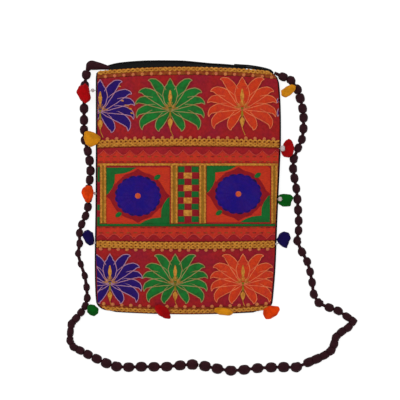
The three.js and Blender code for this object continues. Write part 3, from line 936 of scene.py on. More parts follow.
def braid_line(braid, x):
    """The middle of a braid at a place across the bag, on the parabola in which it bows."""
    if "bow" not in braid:
        braid["bow"] = [strip_middle(braid["node"], place) for place in (-BOW_REACH, 0, BOW_REACH)]
    left, middle, right = braid["bow"]
    share = x / BOW_REACH
    return middle + (right - left) / 2 * share + ((left + right) / 2 - middle) * share ** 2


def strip_middle(source, x):
    """Half way between the two edges of a strip, at a place across the bag."""
    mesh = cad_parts[source].data
    points = [vertex.co / MM for vertex in mesh.vertices]
    tree = BVHTree.FromPolygons(points, [tuple(face.vertices) for face in mesh.polygons])
    low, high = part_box(source)
    found = [
        y for y in steps_between(low.y / MM, high.y / MM, 0.2)
        if tree.ray_cast(Vector((x, y, 200)), -UP)[0] is not None
    ]
    return (found[0] + found[-1]) / 2


def wavy_cords(work, braid):
    """Pairs of cords that cross twice in every wave."""
    for place, swing, radius in braid["pairs"]:
        for phase in (0.0, math.pi):
            path = []
            for x in steps_between(-ACROSS, ACROSS, 0.7):
                turn = 2 * math.pi * (x - braid["first"]) / braid["pitch"] + phase
                y = braid_line(braid, x) + place + swing * math.cos(turn)
                hump = CROSSING_RISE * math.cos(turn)
                if on_front(x, y, 1.4):
                    path.append(work.on_ground(x, y, BRAID_TOP + radius * 0.6 + hump))
            work.cord(path, radius, 0, sides=8, ply=BRAID_PLY, twist=BRAID_TWIST)


def on_front(x, y, margin):
    """Whether a place lies on the front cloth, at least a margin in from its side seams."""
    outward = margin if x > 0 else -margin
    return ground["front"].hit(x + outward, y) is not None


def knots_along(work, braid):
    count = int(CUT_WIDTH / braid["pitch"]) + 1
    for k in range(count):
        x = braid["first"] + k * braid["pitch"]
        y = braid_line(braid, x) + braid["side"] * braid["knots"]
        radius = sizes().knot_radius * (0.94 + 0.12 * noise.noise(Vector((x, y, 0))))
        if on_front(x, y, radius + 0.6):
            work.knot(x, y, radius, KNOT_HEIGHT, RIBBON_TOP, 1)


# Lotuses

LOTUSES = [
    {
        "name": "lotus_violet_upper", "x": -87.5, "y": 76.0, "scale": 1.0, "dye": "violet",
        "glints": [(14, 28, 4), (17, 25, 4), (20, 10.5, 4), (24, 6, 5), (28, 2.5, 4), (30, -2, 3)],
    },
    {"name": "lotus_green_upper", "x": -17.7, "y": 77.3, "scale": 1.0, "dye": "green"},
    {"name": "lotus_orange_upper", "x": 54.0, "y": 78.5, "scale": 1.0, "dye": "orange"},
    {"name": "lotus_edge_upper", "x": 122.8, "y": 79.0, "scale": 1.0, "dye": "violet"},
    {"name": "lotus_violet_lower", "x": -77.8, "y": -95.8, "scale": 0.94, "dye": "violet"},
    {"name": "lotus_green_lower", "x": -12.7, "y": -95.8, "scale": 0.94, "dye": "green"},
    {"name": "lotus_orange_lower", "x": 54.8, "y": -95.8, "scale": 0.94, "dye": "orange"},
]

# Side petals from the lowest layer up: tip from the lotus's middle, how far the petal bows upwards
# before its tip hooks down, and its greatest width.
PETALS = [
    {"tip": (10.9, -21.8), "bow": 3.2, "width": 8.4},
    {"tip": (27.6, -20.4), "bow": 7.0, "width": 9.4},
    {"tip": (33.2, -8.6), "bow": 6.6, "width": 8.0},
    {"tip": (34.4, 5.0), "bow": 5.8, "width": 8.4},
    {"tip": (31.4, 16.6), "bow": 4.8, "width": 9.6},
    {"tip": (21.9, 28.8), "bow": 4.6, "width": 9.2},
]
# The two handles of a petal's line: each a share of its length and of its bow
HOOKED = ((0.4, 0.8), (0.93, 1.6))
STRAIGHT = ((0.33, 0), (0.67, 0))
SIDE_PETAL_WIDTHS = [
    (0, 0.3), (0.2, 0.84), (0.4, 1.04), (0.55, 1.0), (0.72, 0.8), (0.88, 0.38), (1, 0.02),
]
CENTRE_PETAL_WIDTHS = [(0, 0.3), (0.25, 0.82), (0.45, 1.0), (0.65, 0.82), (0.85, 0.36), (1, 0.02)]
SPEAR_WIDTHS = [(0, 0.05), (0.25, 0.6), (0.55, 1.0), (0.8, 0.6), (1, 0.04)]
DROP_WIDTHS = [(0, 0.3), (0.25, 1.0), (0.5, 0.85), (0.8, 0.4), (1, 0.04)]
LAYER_RISE = 0.14
STAMENS = 11
TRIM_REACH = 14  # above and below its middle, a lotus is cut along the seam between these heights


def width_at(table, at):
    for (f1, w1), (f2, w2) in zip(table, table[1:]):
        if at <= f2:
            share = (at - f1) / (f2 - f1)
            soft = share * share * (3 - 2 * share)
            return w1 + (w2 - w1) * soft
    return table[-1][1]


def petal(work, base, tip, bow, width, table, lift, dome, finish, steps=16):
    """One petal of satin stitch along a bowed line; gives back its outline."""
    base, tip = Vector(base), Vector(tip)
    span = tip - base
    upper = Vector((-span.y, span.x)).normalized()
    if upper.y < 0 or (abs(upper.y) < 1e-6 and upper.x > 0):
        upper = -upper
    handles = HOOKED if bow > 2 else STRAIGHT
    near, far = (base + span * along + upper * bow * rise for along, rise in handles)
    rings, places, left, right = [], [], [], []
    previous = base
    travelled = 0.0
    for i in range(steps + 1):
        f = i / steps
        g = 1 - f
        point = base * g ** 3 + near * 3 * g * g * f + far * 3 * g * f * f + tip * f ** 3
        slope = (near - base) * g * g + (far - near) * 2 * g * f + (tip - far) * f * f
        normal = Vector((-slope.y, slope.x)).normalized()
        half = width / 2 * width_at(table, f)
        travelled += (point - previous).length
        previous = point
        ring = []
        for across in (-1, -0.6, -0.2, 0.2, 0.6, 1):
            place = point + normal * half * across
            rise = dome * math.sqrt(1 - across ** 2) * min(1.0, half / 2)
            ring.append(work.on_ground(place.x, place.y, lift + rise))
        for across in (0.6, -0.6):
            place = point + normal * half * across
            ring.append(work.on_ground(place.x, place.y, lift - 0.3))
        rings.append(ring)
        places.append(travelled)
        left.append(point - normal * half)
        right.append(point + normal * half)
    work.rings(rings, places, finish)
    return left + right[::-1]


def outline_cord(work, line, lift, radius, finish):
    path = [work.on_ground(point.x, point.y, lift) for point in line]
    work.cord(path, radius, finish, sides=6)


def embroider_lotus(work, lotus):
    """Petals from the lowest layer up, each edged with a cord, then the spear, stem and drop."""
    x, y, scale = lotus["x"], lotus["y"], lotus["scale"]
    dome = sizes().petal_dome
    radius = sizes().outline_radius
    lift = RIBBON_TOP

    def at(px, py):
        return x + px * scale, y + py * scale

    for petal_row in PETALS:
        lift += LAYER_RISE
        for side in (-1, 1):
            tip_x, tip_y = petal_row["tip"]
            line = petal(
                work, at(0, 0), at(side * tip_x, tip_y), petal_row["bow"] * scale,
                petal_row["width"] * scale, SIDE_PETAL_WIDTHS, lift, dome, 0,
            )
            outline_cord(work, line, lift + 0.2, radius, 1)
    lift += LAYER_RISE
    line = petal(work, at(0, 1), at(0, 31), 0, 14.8 * scale, CENTRE_PETAL_WIDTHS, lift, dome * 1.3, 0)
    outline_cord(work, line, lift + 0.25, radius, 1)
    petal(work, at(0, 1.5), at(0, 21), 0, 4.4 * scale, SPEAR_WIDTHS, lift + 0.5, dome, 2, steps=12)
    petal(work, at(0, -1), at(0, -10), 0, 2.4 * scale, SPEAR_WIDTHS, lift + 0.2, dome, 3, steps=8)
    petal(work, at(0, -9), at(0, -19.5), 0, 5.2 * scale, DROP_WIDTHS, lift, dome, 2, steps=10)
    tail = smooth_through([at(0, -19), at(0.8, -22), at(2.2, -25), at(3, -27)], 4)
    path = [work.on_ground(px, py, RIBBON_TOP + 0.2) for px, py in tail]
    work.cord(path, radius * 0.9, 2, sides=6)
    work.knot(*at(0, 0), 1.5 * scale, 0.6, lift + 0.2, 3)
    for k in range(STAMENS):
        angle = math.radians(10 + 160 * k / (STAMENS - 1))
        start, end = 2.6 * scale, (6.2 if k % 2 else 8.0) * scale
        path = [
            work.on_ground(x + reach * math.cos(angle), y + reach * math.sin(angle) * 0.9, lift + 0.55)
            for reach in steps_between(start, end, 1.2)
        ]
        work.cord(path, 0.32, 2, sides=5)
    for px, py, length in lotus.get("glints", []):
        petal(work, at(px, py), at(px + length, py - 0.3 * length), 0.4, 1.7, SPEAR_WIDTHS, lift, 0.5, 2,
              steps=6)


class BAG_OT_lotuses(bpy.types.Operator):
    """Embroider the lotus flowers of the two lotus ribbons"""

    bl_idname = "bag.lotuses"
    bl_label = "Lotuses"

    def execute(self, context):
        c = colours()
        petals = {
            "violet": thread_material("Violet Satin", c.violet_petal, toned(c.violet_petal, 0.7)),
            "green": thread_material("Green Satin", c.green_petal, c.green_dark),
            "orange": thread_material("Orange Satin", c.orange_petal, c.scallop),
        }
        edges = {
            "violet": thread_material("Violet Cord", c.violet_edge, c.salmon, share=0.25),
            "green": thread_material("Green Cord", c.green_edge, c.olive, share=0.5),
            "orange": thread_material("Orange Cord", c.orange_edge, c.scallop, share=0.4),
        }
        olive = thread_material("Olive Thread", c.olive, c.green_dark, share=0.4)
        for lotus in LOTUSES:
            work = Needlework()
            embroider_lotus(work, lotus)
            obj = work.make(
                lotus["name"], petals[lotus["dye"]], edges[lotus["dye"]], gold_thread(), olive,
            )
            trim_sides(obj, lotus["y"], TRIM_REACH)
            smooth_piece(obj, "embroidery")
        return {"FINISHED"}


# Ribbon of squares

SQUARES = [
    {"name": "square_left", "x": -49.8, "y": -8.9, "wide": 11.85, "tall": 10.5},
    {"name": "square_right", "x": 50.2, "y": -7.0, "wide": 12.0, "tall": 10.4},
]
SQUARE_HALF_WIDTH = 31.8
SQUARE_HALF_HEIGHT = 28.4

# A quarter of the star's edge, from its top tip to its right tip
STAR_QUARTER = [(0, 26.9), (5.5, 23.6), (14, 20.6), (20.5, 15.5), (25, 9), (28, 3.6), (31.6, 0.5)]

# The bent leaf in a corner of a square: its outer corner, its two tips and its inner edge
CORNER_LEAF = [
    (-31.6, 28.2), (-1.6, 28.2), (-7.5, 24.6), (-14, 22.4), (-23, 21.4),
    (-23.2, 14), (-25.2, 8.5), (-29.4, 2.4), (-31.6, 1.0),
]
CORNER_WEDGE = [(-22.8, 21.0), (-13.2, 20.2), (-17.8, 16.4), (-22.4, 11.6)]
LEAF = {"x": 19.3, "y": 18.6, "long": 7.4, "wide": 4.6, "tilt": 35}
DISC_LOBES = 17


def star_outline():
    quarter = smooth_through(STAR_QUARTER, 4)[:-1]
    mirrored = [(x, -y) for x, y in reversed(smooth_through(STAR_QUARTER, 4))][:-1]
    right = quarter + mirrored
    return right + [(-x, -y) for x, y in right]


def round_flower(work, x, y, square, lift):
    """A round flower of lobes, domed and quilted between them, with an eye in its middle."""
    sides = DISC_LOBES * 6
    layers = 9
    dark, blue, eye = 1, 0, 2
    for shrink, finish, extra in ((1.0, dark, 0.0), (0.965, blue, 0.25)):
        rings = []
        for j in range(layers + 1):
            f = 1 - j / layers
            ring = []
            for k in range(sides):
                angle = 2 * math.pi * k / sides
                lobe = abs(math.cos(DISC_LOBES * angle / 2))
                reach = 2 * (0.945 + 0.055 * lobe) * f * shrink + 0.004
                rise = extra + 1.2 * math.sqrt(1 - f ** 6) * (1 - 0.5 * (1 - lobe) ** 2 * f)
                ring.append(work.on_ground(
                    x + square["wide"] * reach * math.cos(angle),
                    y + square["tall"] * reach * math.sin(angle),
                    lift + rise,
                ))
            rings.append(ring)
        foot = [point - UP * (extra + 0.5) for point in rings[0]]
        work.rings([foot, *rings], [24 - 2.4 * j for j in range(layers + 2)], finish)
    work.knot(x, y, 3.9, 0.3, lift + 1.15, dark, sides=18)
    work.knot(x, y, 3.0, 0.9, lift + 1.25, eye, sides=18)


def spin_leaf(leaf):
    tilt = math.radians(leaf["tilt"])
    outline = []
    for k in range(16):
        angle = 2 * math.pi * k / 16
        px = leaf["long"] / 2 * math.cos(angle)
        py = leaf["wide"] / 2 * math.sin(angle) * (1 - 0.2 * math.cos(angle) ** 2)
        outline.append((
            leaf["x"] + px * math.cos(tilt) - py * math.sin(tilt),
            leaf["y"] + px * math.sin(tilt) + py * math.cos(tilt),
        ))
    return outline


class BAG_OT_squares(bpy.types.Operator):
    """Embroider the two squares, each with a star and a round flower"""

    bl_idname = "bag.squares"
    bl_label = "Squares"

    def execute(self, context):
        c = colours()
        blue = thread_material("Blue Satin", c.disc, c.disc_flush, patches=120.0, share=0.9)
        dark = thread_material("Dark Violet Thread", c.disc_edge, c.disc)
        eye = thread_material("Eye Thread", c.disc_eye, c.salmon, share=0.5)
        orange = thread_material("Orange Ground Thread", c.square_ground, c.scallop, patches=90.0)
        for square in SQUARES:
            x, y = square["x"], square["y"]
            fill = Needlework()
            width, height = SQUARE_HALF_WIDTH, SQUARE_HALF_HEIGHT
            lift = RIBBON_TOP
            fill.patch(rectangle(x - width, y - height, x + width, y + height), lift, 0.25, 3,
                       grain=90, spacing=3.0)
            fill.patch(moved(star_outline(), x, y), lift + 0.3, 0.4, 4, grain=45)
            for half_turn in (False, True):
                fill.patch(moved(CORNER_LEAF, x, y, half_turn), lift + 0.35, 0.55, 5, grain=20)
                fill.patch(moved(CORNER_WEDGE, x, y, half_turn), lift + 0.55, 0.4, 3, grain=60)
                fill.patch(moved(spin_leaf(LEAF), x, y, half_turn), lift + 0.6, 0.6, 5, grain=-50,
                           spacing=1.4)
            round_flower(fill, x, y, square, lift + 0.55)
            obj = fill.make(square["name"], blue, dark, eye, orange, maroon_thread(), leaf_thread())
            smooth_piece(obj, "embroidery")
        return {"FINISHED"}


BARS = [(-87.5, -81.5), (-17.0, -10.2), (11.3, 18.0), (83.0, 89.3)]
BAR_BOTTOM, BAR_TOP = -36.2, 22.2
BAR_CORD_RADIUS = 1.15
BAR_CORD_INSET = 1.1
BAR_PLY = 0.14
# The lines above and below the squares: their place and finish, and their radius
LINES = ((22.3, 0), (-38.0, 2))
LINE_RADIUS = 1.25
CHECK_LEFT, CHECK_RIGHT = -10.0, 11.0
CHECK_ROWS = 9
CHECK_ROW_HEIGHT = 6.2
CHECK_TOP = 20.6
CHECK_COLUMNS = [
    [(CHECK_LEFT, -3.2, "green"), (-3.2, 3.4, "maroon"), (3.4, CHECK_RIGHT, "green")],
    [(CHECK_LEFT, -4.5, "maroon"), (-4.5, 4.2, "gold"), (4.2, CHECK_RIGHT, "maroon")],
]
EDGE_RIGHT = -88
EDGE_PATCHES = [
    (20.0, 5.0, "green"), (4.2, -16.2, "maroon"), (-17.6, -23.2, "green"),
    (-24.0, -29.2, "maroon"), (-29.8, -37.0, "green"),
]


class BAG_OT_bars(bpy.types.Operator):
    """Embroider the gold bars, the checks between them and the lines above and below"""

    bl_idname = "bag.bars"
    bl_label = "Bars and checks"

    def execute(self, context):
        c = colours()
        finishes = {"gold": 0, "olive": 1, "green": 2, "maroon": 3}
        materials = [
            gold_thread(),
            thread_material("Bar Thread", c.bar_middle, c.olive, share=0.4),
            leaf_thread(),
            maroon_thread(),
        ]
        work = Needlework()
        lift = RIBBON_TOP
        for left, right in BARS:
            work.patch(rectangle(left, BAR_BOTTOM, right, BAR_TOP), lift + 0.1, 0.3, 1, spacing=2.4)
            for x in (left + BAR_CORD_INSET, right - BAR_CORD_INSET):
                path = [work.on_ground(x, y, lift + 0.7) for y in steps_between(BAR_BOTTOM, BAR_TOP, 0.7)]
                work.cord(path, BAR_CORD_RADIUS, 0, sides=8, ply=BAR_PLY, twist=1.0)
        for y, finish in LINES:
            path = [work.on_ground(x, y, lift + 0.6) for x in steps_between(1 - ACROSS, ACROSS - 1, 0.8)]
            work.cord(path, LINE_RADIUS, finish, sides=8, ply=BAR_PLY, twist=1.0)
        for row in range(CHECK_ROWS):
            top = CHECK_TOP - row * CHECK_ROW_HEIGHT
            for left, right, dye in CHECK_COLUMNS[row % 2]:
                work.patch(
                    rectangle(left + 0.2, top - CHECK_ROW_HEIGHT + 0.2, right - 0.2, top - 0.2),
                    lift + 0.1, 0.7, finishes[dye], grain=90 * (row % 2), spacing=2.0, shoulder=2.2,
                )
        for top, bottom, dye in EDGE_PATCHES:
            outline = rectangle(-ACROSS, bottom, EDGE_RIGHT, top)
            work.patch(outline, lift + 0.1, 0.5, finishes[dye], spacing=2.4)
        obj = work.make("bars_and_checks", *materials)
        trim_sides(obj, -8, 30)
        smooth_piece(obj, "embroidery")
        return {"FINISHED"}


# Scalloped strips: base is the straight edge, side the way that the fans point, and joint the
# place, bottom and top of a seam across the strip.
SCALLOP_STRIPS = [
    {"name": "scallops_upper", "base": 24.2, "side": 1, "first": -84.2},
    {
        "name": "scallops_lower", "base": -39.6, "side": -1, "first": -80.0,
        "joint": (-57.0, -54.0, -39.4),
    },
]
FAN_VALLEY = 7.4
FAN_TIP = 12.4
DASH_PITCH = 7.0
DASHES = ((0.9, 4.6, 1.1), (6.0, 3.6, 1.3))  # from the strip's straight edge, length and width


class BAG_OT_scallops(bpy.types.Operator):
    """Embroider the fans of the two strips that frame the squares"""

    bl_idname = "bag.scallops"
    bl_label = "Scallops"

    def execute(self, context):
        c = colours()
        fan = thread_material("Scallop Thread", c.scallop, c.square_ground, patches=150.0, share=0.7)
        edge = thread_material("Scallop Edge Thread", c.scallop_edge, c.scallop, share=0.5)
        dash = thread_material("Brown Dash Thread", toned(c.strip_ground, 0.8), c.gold_dark)
        for strip in SCALLOP_STRIPS:
            work = Needlework()
            line = fan_line(strip)
            base = strip["base"]
            outline = [(-ACROSS, base), *line, (ACROSS, base)]
            work.patch(outline, RIBBON_TOP, 0.3, 0, grain=8, spacing=2.6)
            path = [work.on_ground(x, y, RIBBON_TOP + 0.35) for x, y in line]
            work.cord(path, 0.5, 1, sides=6)
            for x in steps_between(1 - ACROSS, ACROSS - 1, DASH_PITCH):
                for offset, long, tall in DASHES:
                    y = base + strip["side"] * offset
                    box = rectangle(x - long / 2, y - tall / 2, x + long / 2, y + tall / 2)
                    work.patch(box, RIBBON_TOP + 0.3, 0.35, 2, spacing=1.6, shoulder=0.5)
            if "joint" in strip:
                x, low_y, high_y = strip["joint"]
                work.patch(rectangle(x - 0.55, low_y, x + 0.55, high_y), RIBBON_TOP + 0.25, 0.3, 2,
                           spacing=1.6, shoulder=0.5)
            obj = work.make(strip["name"], fan, edge, dash)
            trim_sides(obj, base, 8)
            smooth_piece(obj, "embroidery")
        return {"FINISHED"}


def fan_line(strip):
    """The scalloped edge: fans with a point each, side by side."""
    pitch = sizes().scallop_pitch
    line = []
    for x in steps_between(-ACROSS, ACROSS, 1.1):
        share = ((x - strip["first"]) / pitch) % 1
        from_tip = min(share, 1 - share) * 2
        reach = FAN_VALLEY + (FAN_TIP - FAN_VALLEY) * (1 - from_tip) ** 1.7
        line.append((x, strip["base"] + strip["side"] * reach))
    return line


# Zip


class BAG_OT_zip(bpy.types.Operator):
    """Fit the closed zip: two tapes, the coil and its slider"""

    bl_idname = "bag.zip"
    bl_label = "Zip"

    def execute(self, context):
        c = colours()
        tape = cloth_material(
            "Zip Tape", c.zip_black, toned(c.zip_black, 1.5), yarns=1700, roughness=0.7,
        )
        for source, name in (("zip_tape_front", "zip_tape_upper"), ("zip_tape_back", "zip_tape_under")):
            strip = joined_copy(source, name)
            modify(strip, "BEVEL", width=0.0003, segments=2, limit_method="ANGLE")
            wear(strip, tape)
            smooth_piece(strip, "zip_tape", source)
        work = Needlework()
        work.cord(zip_end_path(), ZIP_END_RADIUS, 0, sides=10)
        turned = work.make("zip_tape_end", tape)
        smooth_piece(turned, "zip_tape")
        nylon = glazed_material("Zip Nylon", c.zip_black, 0.4, 0.2)
        coil = zip_coil()
        wear(coil, nylon)
        smooth_piece(coil, "zip_coil", "zip_coil", degrees=70)
        slider = zip_slider()
        wear(slider, glazed_material("Zip Enamel", c.zip_black, 0.35, 0.6))
        as_piece(slider, "zip_slider", "zip_slider")
        return {"FINISHED"}


# The zip's coil: how far its turns reach aside and upwards, their radius, and the plain cords along it,
# each with its place aside and its radius
TURN_ASIDE = 0.62
TURN_RISE = 0.42
TURN_RADIUS = 0.3
COIL_CORDS = ((0.0, 0.78), (1.3, 0.55))

# The turned end of the zip tape: its radius, its height and the points along its middle
ZIP_END_RADIUS = 2.0
ZIP_END_HEIGHT = SEAM_HEIGHT - 0.9
ZIP_END = [(46, 121.0), (54, 120.5), (60, 120.1), (68, 119.0), (76, 117.4), (82, 115.4), (84, 113.0)]


def zip_end_path():
    """The tape's end, turned under and sewn down over the right corner of the mouth."""
    return [Vector((x, y, ZIP_END_HEIGHT)) for x, y in smooth_through(ZIP_END, 5)]


def zip_line():
    """Points along the middle of the coil, from its node's rings."""
    columns = {}
    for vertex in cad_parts["zip_coil"].data.vertices:
        columns.setdefault(round(vertex.co.x / MM / 5), []).append(vertex.co / MM)
    line = []
    for key in sorted(columns):
        group = columns[key]
        line.append(sum(group, Vector()) / len(group))
    return line


def zip_coil():
    """Two rows of nylon turns that mesh, wound along the mouth."""
    line = [Vector(point) for point in smooth_through([tuple(point) for point in zip_line()], 6)]
    lengths = [0.0]
    for one, other in zip(line, line[1:]):
        lengths.append(lengths[-1] + (other - one).length)
    pitch = sizes().coil_pitch
    turns = int(lengths[-1] / pitch)
    per_turn = 10
    work = Needlework()
    for side in (-1, 1):
        path = []
        i = 0
        for k in range(turns * per_turn + 1):
            travelled = k * pitch / per_turn
            while lengths[i + 1] < travelled and i < len(line) - 2:
                i += 1
            f = (travelled - lengths[i]) / (lengths[i + 1] - lengths[i])
            point = line[i].lerp(line[i + 1], f)
            forward = (line[i + 1] - line[i]).normalized()
            aside = forward.cross(UP)
            angle = 2 * math.pi * k / per_turn + (math.pi if side > 0 else 0)
            path.append(
                point + aside * TURN_ASIDE * math.cos(angle)
                + UP * (side * TURN_RISE + TURN_RISE * math.sin(angle))
            )
        work.cord(path, TURN_RADIUS, 0, sides=4)
    for aside, radius in COIL_CORDS:
        path = []
        for one, other in zip(line, line[1:]):
            path.append(one + (other - one).cross(UP).normalized() * aside)
        work.cord(path, radius, 0, sides=8)
    return work.make("zip_coil_turns", None)


def zip_slider():
    """A small slider with a bevelled body and a bridge for its pull."""
    obj = joined_copy("zip_slider", "zip_slider_body")
    modify(obj, "BEVEL", width=0.0003, segments=2, limit_method="ANGLE")
    subdivide_smooth(obj, 1)
    shade_smooth(obj, 40)
    return obj


# Strap

NECK_RADIUS = 1.5
STRAP_SPLIT = 31  # the first row of the right half
PACKED_ROWS = ((20, 24), (36, 43))  # runs of rows whose beads are pushed together in the cloth
PACKED_NECK = 0.7  # the neck between such beads, as a share of their radius
HALF_GAP = 0.15  # between each half of the strap and the middle of the place where they meet
PLEAT_DEPTH = 0.11  # at a neck, as a share of the cloth's radius

# The strap's route, bead by bead: the middle of a bead, the beads from it to the next row and the
# radius of the bead.
STRAP_ROUTE = [
    (-101.5, 112.5, 1, 4.6), (-103.2, 101, 1, 4.4), (-103.7, 90, 2, 4.4), (-103.8, 66.8, 1, 4.4),
    (-103.9, 57, 1, 4.2), (-103.2, 46.5, 1, 4.1), (-100, 35.8, 2, 4.3), (-97.2, 16.2, 2, 4.3),
    (-99.3, -2, 2, 4.0), (-99.8, -20, 1, 4.0), (-102.2, -29, 1, 3.7), (-106.2, -37.2, 1, 3.6),
    (-108.5, -46, 1, 3.6), (-108, -56.5, 1, 3.4), (-110, -66.5, 1, 3.2), (-107.2, -77, 1, 3.1),
    (-103, -88.8, 1, 3.2), (-101.2, -100, 1, 3.4), (-100.5, -111, 1, 3.6), (-102.5, -119, 2, 3.6),
    (-111.5, -131, 1, 3.8), (-116.5, -136.5, 1, 3.8), (-117.5, -145, 1, 3.6), (-118, -153.5, 1, 3.6),
    (-114.5, -160, 1, 3.8), (-107.7, -163.2, 2, 4.2), (-91.2, -171.5, 2, 4.8), (-71.4, -179.4, 2, 5.0),
    (-46.6, -179.4, 2, 5.0), (-21.2, -179.4, 2, 5.1), (4.4, -177.1, 1, 5.2), (17, -178.8, 2, 5.2),
    (42.8, -183.5, 2, 5.2), (69.5, -180.8, 2, 5.1), (95.5, -179.8, 1, 5.2), (108.2, -180.2, 1, 5.2),
    (120.2, -175.2, 2, 4.7), (136.5, -168, 1, 4.2), (143, -163.5, 1, 4.2), (146, -157, 1, 4.2),
    (147.5, -150, 1, 4.0), (153.5, -144.5, 1, 4.0), (160, -140.6, 1, 3.9), (165.4, -134, 1, 4.1),
    (158.6, -129.4, 1, 4.0), (150, -123.5, 1, 4.2), (141, -120.5, 1, 4.2), (130.4, -116, 1, 4.2),
    (125.4, -107.1, 1, 4.1), (124, -95.3, 2, 3.8), (119.2, -74.4, 1, 3.9), (113.8, -65, 1, 4.0),
    (108.8, -53.8, 1, 4.0), (110.5, -43.5, 2, 4.0), (110, -23, 2, 4.1), (108.2, -1.5, 2, 4.1),
    (104.8, 18.2, 1, 4.2), (105.5, 28.2, 1, 4.1), (110, 38.8, 1, 4.0), (114, 47.5, 2, 4.0),
    (115.5, 69.2, 1, 4.3), (114.5, 78.2, 1, 4.6), (112, 88.8, 1, 4.7), (109.3, 97.5, 1, 4.5),
    (103, 106.8, 1, 4.3), (95.2, 109.8, 0, 4.4),
]


def strap_beads():
    """Every bead's middle, radius and neck after it, each resting on the floor, in two halves."""
    points = [Vector((x, y, radius)) for x, y, _, radius in STRAP_ROUTE]
    halves = ([], [])
    for i, (_, _, count, radius) in enumerate(STRAP_ROUTE):
        after = STRAP_ROUTE[min(i + 1, len(STRAP_ROUTE) - 1)]
        for k in range(max(count, 1)):
            f = k / max(count, 1)
            centre = along_route(points, i, f)
            size = radius + (after[3] - radius) * f
            centre.z = size
            packed = any(start <= i <= end for start, end in PACKED_ROWS)
            neck = size * PACKED_NECK if packed else NECK_RADIUS
            halves[0 if i < STRAP_SPLIT else 1].append((centre, size, neck))
    return halves


def along_route(points, i, f):
    """A point between two rows of the route, on a centripetal curve through the rows."""
    if f == 0:
        return points[i].copy()
    p0 = points[max(i - 1, 0)]
    p1, p2 = points[i], points[i + 1]
    p3 = points[min(i + 2, len(points) - 1)]
    d0, d1, d2 = (max((b - a).length ** 0.5, 0.001) for a, b in ((p0, p1), (p1, p2), (p2, p3)))
    t1 = ((p1 - p0) / d0 - (p2 - p0) / (d0 + d1) + (p2 - p1) / d1) * d1
    t2 = ((p2 - p1) / d1 - (p3 - p1) / (d1 + d2) + (p3 - p2) / d2) * d1
    return (
        p1 + t1 * f + (-3 * p1 + 3 * p2 - 2 * t1 - t2) * f ** 2
        + (2 * p1 - 2 * p2 + t1 + t2) * f ** 3
    )


class StrapTube:
    """The cloth tube of one half of the strap, collected ring by ring."""

    sides = 27

    def __init__(self, seed):
        self.random = random.Random(seed)
        self.rings = []
        self.places = []
        self.travelled = 0.0
        self.last = None

    def ring(self, centre, forward, radius, pleat, phase):
        aside = UP.cross(forward).normalized()
        upward = forward.cross(aside).normalized()
        points = []
        for k in range(self.sides):
            angle = 2 * math.pi * k / self.sides
            reach = radius * (1 + pleat * math.cos(sizes().pleats * angle + phase))
            points.append(centre + aside * (reach * math.cos(angle)) + upward * (reach * math.sin(angle)))
        if self.last is not None:
            self.travelled += (centre - self.last).length
        self.last = centre.copy()
        self.rings.append(points)
        self.places.append(self.travelled)

    def bead(self, bead, before, after, start, end):
        """One covered bead between two necks, gathered into pleats at both."""
        centre, radius, _ = bead
        phase = self.random.uniform(0, 2 * math.pi)
        lump = self.random.uniform(-0.03, 0.03)
        rings_a_side = 7
        for side, (neck, narrow, toward) in ((-1, (start, *before)), (1, (end, *after))):
            order = range(rings_a_side, 0, -1) if side < 0 else range(0, rings_a_side)
            room = (neck - centre).length
            half = min(room, radius * 1.05)
            middle = (after[1] + before[1]).normalized()
            for k in order:
                f = k / rings_a_side
                swept = math.sin(f * math.pi / 2)
                distance = room * swept
                point = centre.lerp(neck, swept)
                share = min(1.0, distance / half)
                size = narrow + (radius - narrow) * (1 - share ** 2.3) ** 0.5
                forward = middle.lerp(toward, swept).normalized()
                pleat = PLEAT_DEPTH * share ** 3
                self.ring(point, forward, size * (1 + lump), pleat, phase)


def neck_between(one, other):
    """The gathered cloth half way between two beads."""
    apart = (other[0] - one[0]).length
    radius = (one[1] + other[1]) / 2
    touching = math.sqrt(max(0.0, radius ** 2 - (apart / 2) ** 2))
    return one[0].lerp(other[0], 0.5), max(one[2], touching), (other[0] - one[0]).normalized()


def half_strap(name, beads, first, last, seed):
    """Covers a run of beads; first and last are (middle, radius, forward) of the run's two ends."""
    tube = StrapTube(seed)
    for centre, radius, forward in first[:-1]:
        tube.ring(centre, forward, radius, 0.07, 0.4)
    necks = [first[-1], *(neck_between(a, b) for a, b in zip(beads, beads[1:])), last[0]]
    for bead, before, after in zip(beads, necks, necks[1:]):
        tube.bead(bead, (before[1], before[2]), (after[1], after[2]), before[0], after[0])
    for centre, radius, forward in last:
        tube.ring(centre, forward, radius, 0.05, 0.4)
    work = Needlework()
    work.rings(tube.rings, tube.places, 0)
    return work.make(name, None)


# The twisted end at the left corner of the mouth: aside and up from the corner, and its radius
TWISTED_END = [
    (13.0, 3.2, 1.8), (5.0, 4.8, 3.2), (-1.0, 5.6, 4.2), (-5.2, 5.9, 4.7), (-8.0, 4.0, 3.6),
]


def twisted_end(corner, first_bead):
    """Sections of the cloth end that is knotted at the corner, smoothed."""
    rows = [(corner.x + a, corner.y + u, max(SEAM_HEIGHT, r), r) for a, u, r in TWISTED_END]
    line = smooth_through(rows, 5)
    sections = []
    for i, (x, y, z, radius) in enumerate(line):
        before = Vector(line[max(i - 1, 0)][:3])
        after = Vector(line[min(i + 1, len(line) - 1)][:3])
        sections.append((Vector((x, y, z)), radius, (after - before).normalized()))
    end = Vector(line[-1][:3])
    sections.append(neck_between((end, line[-1][3], NECK_RADIUS), first_bead))
    return sections


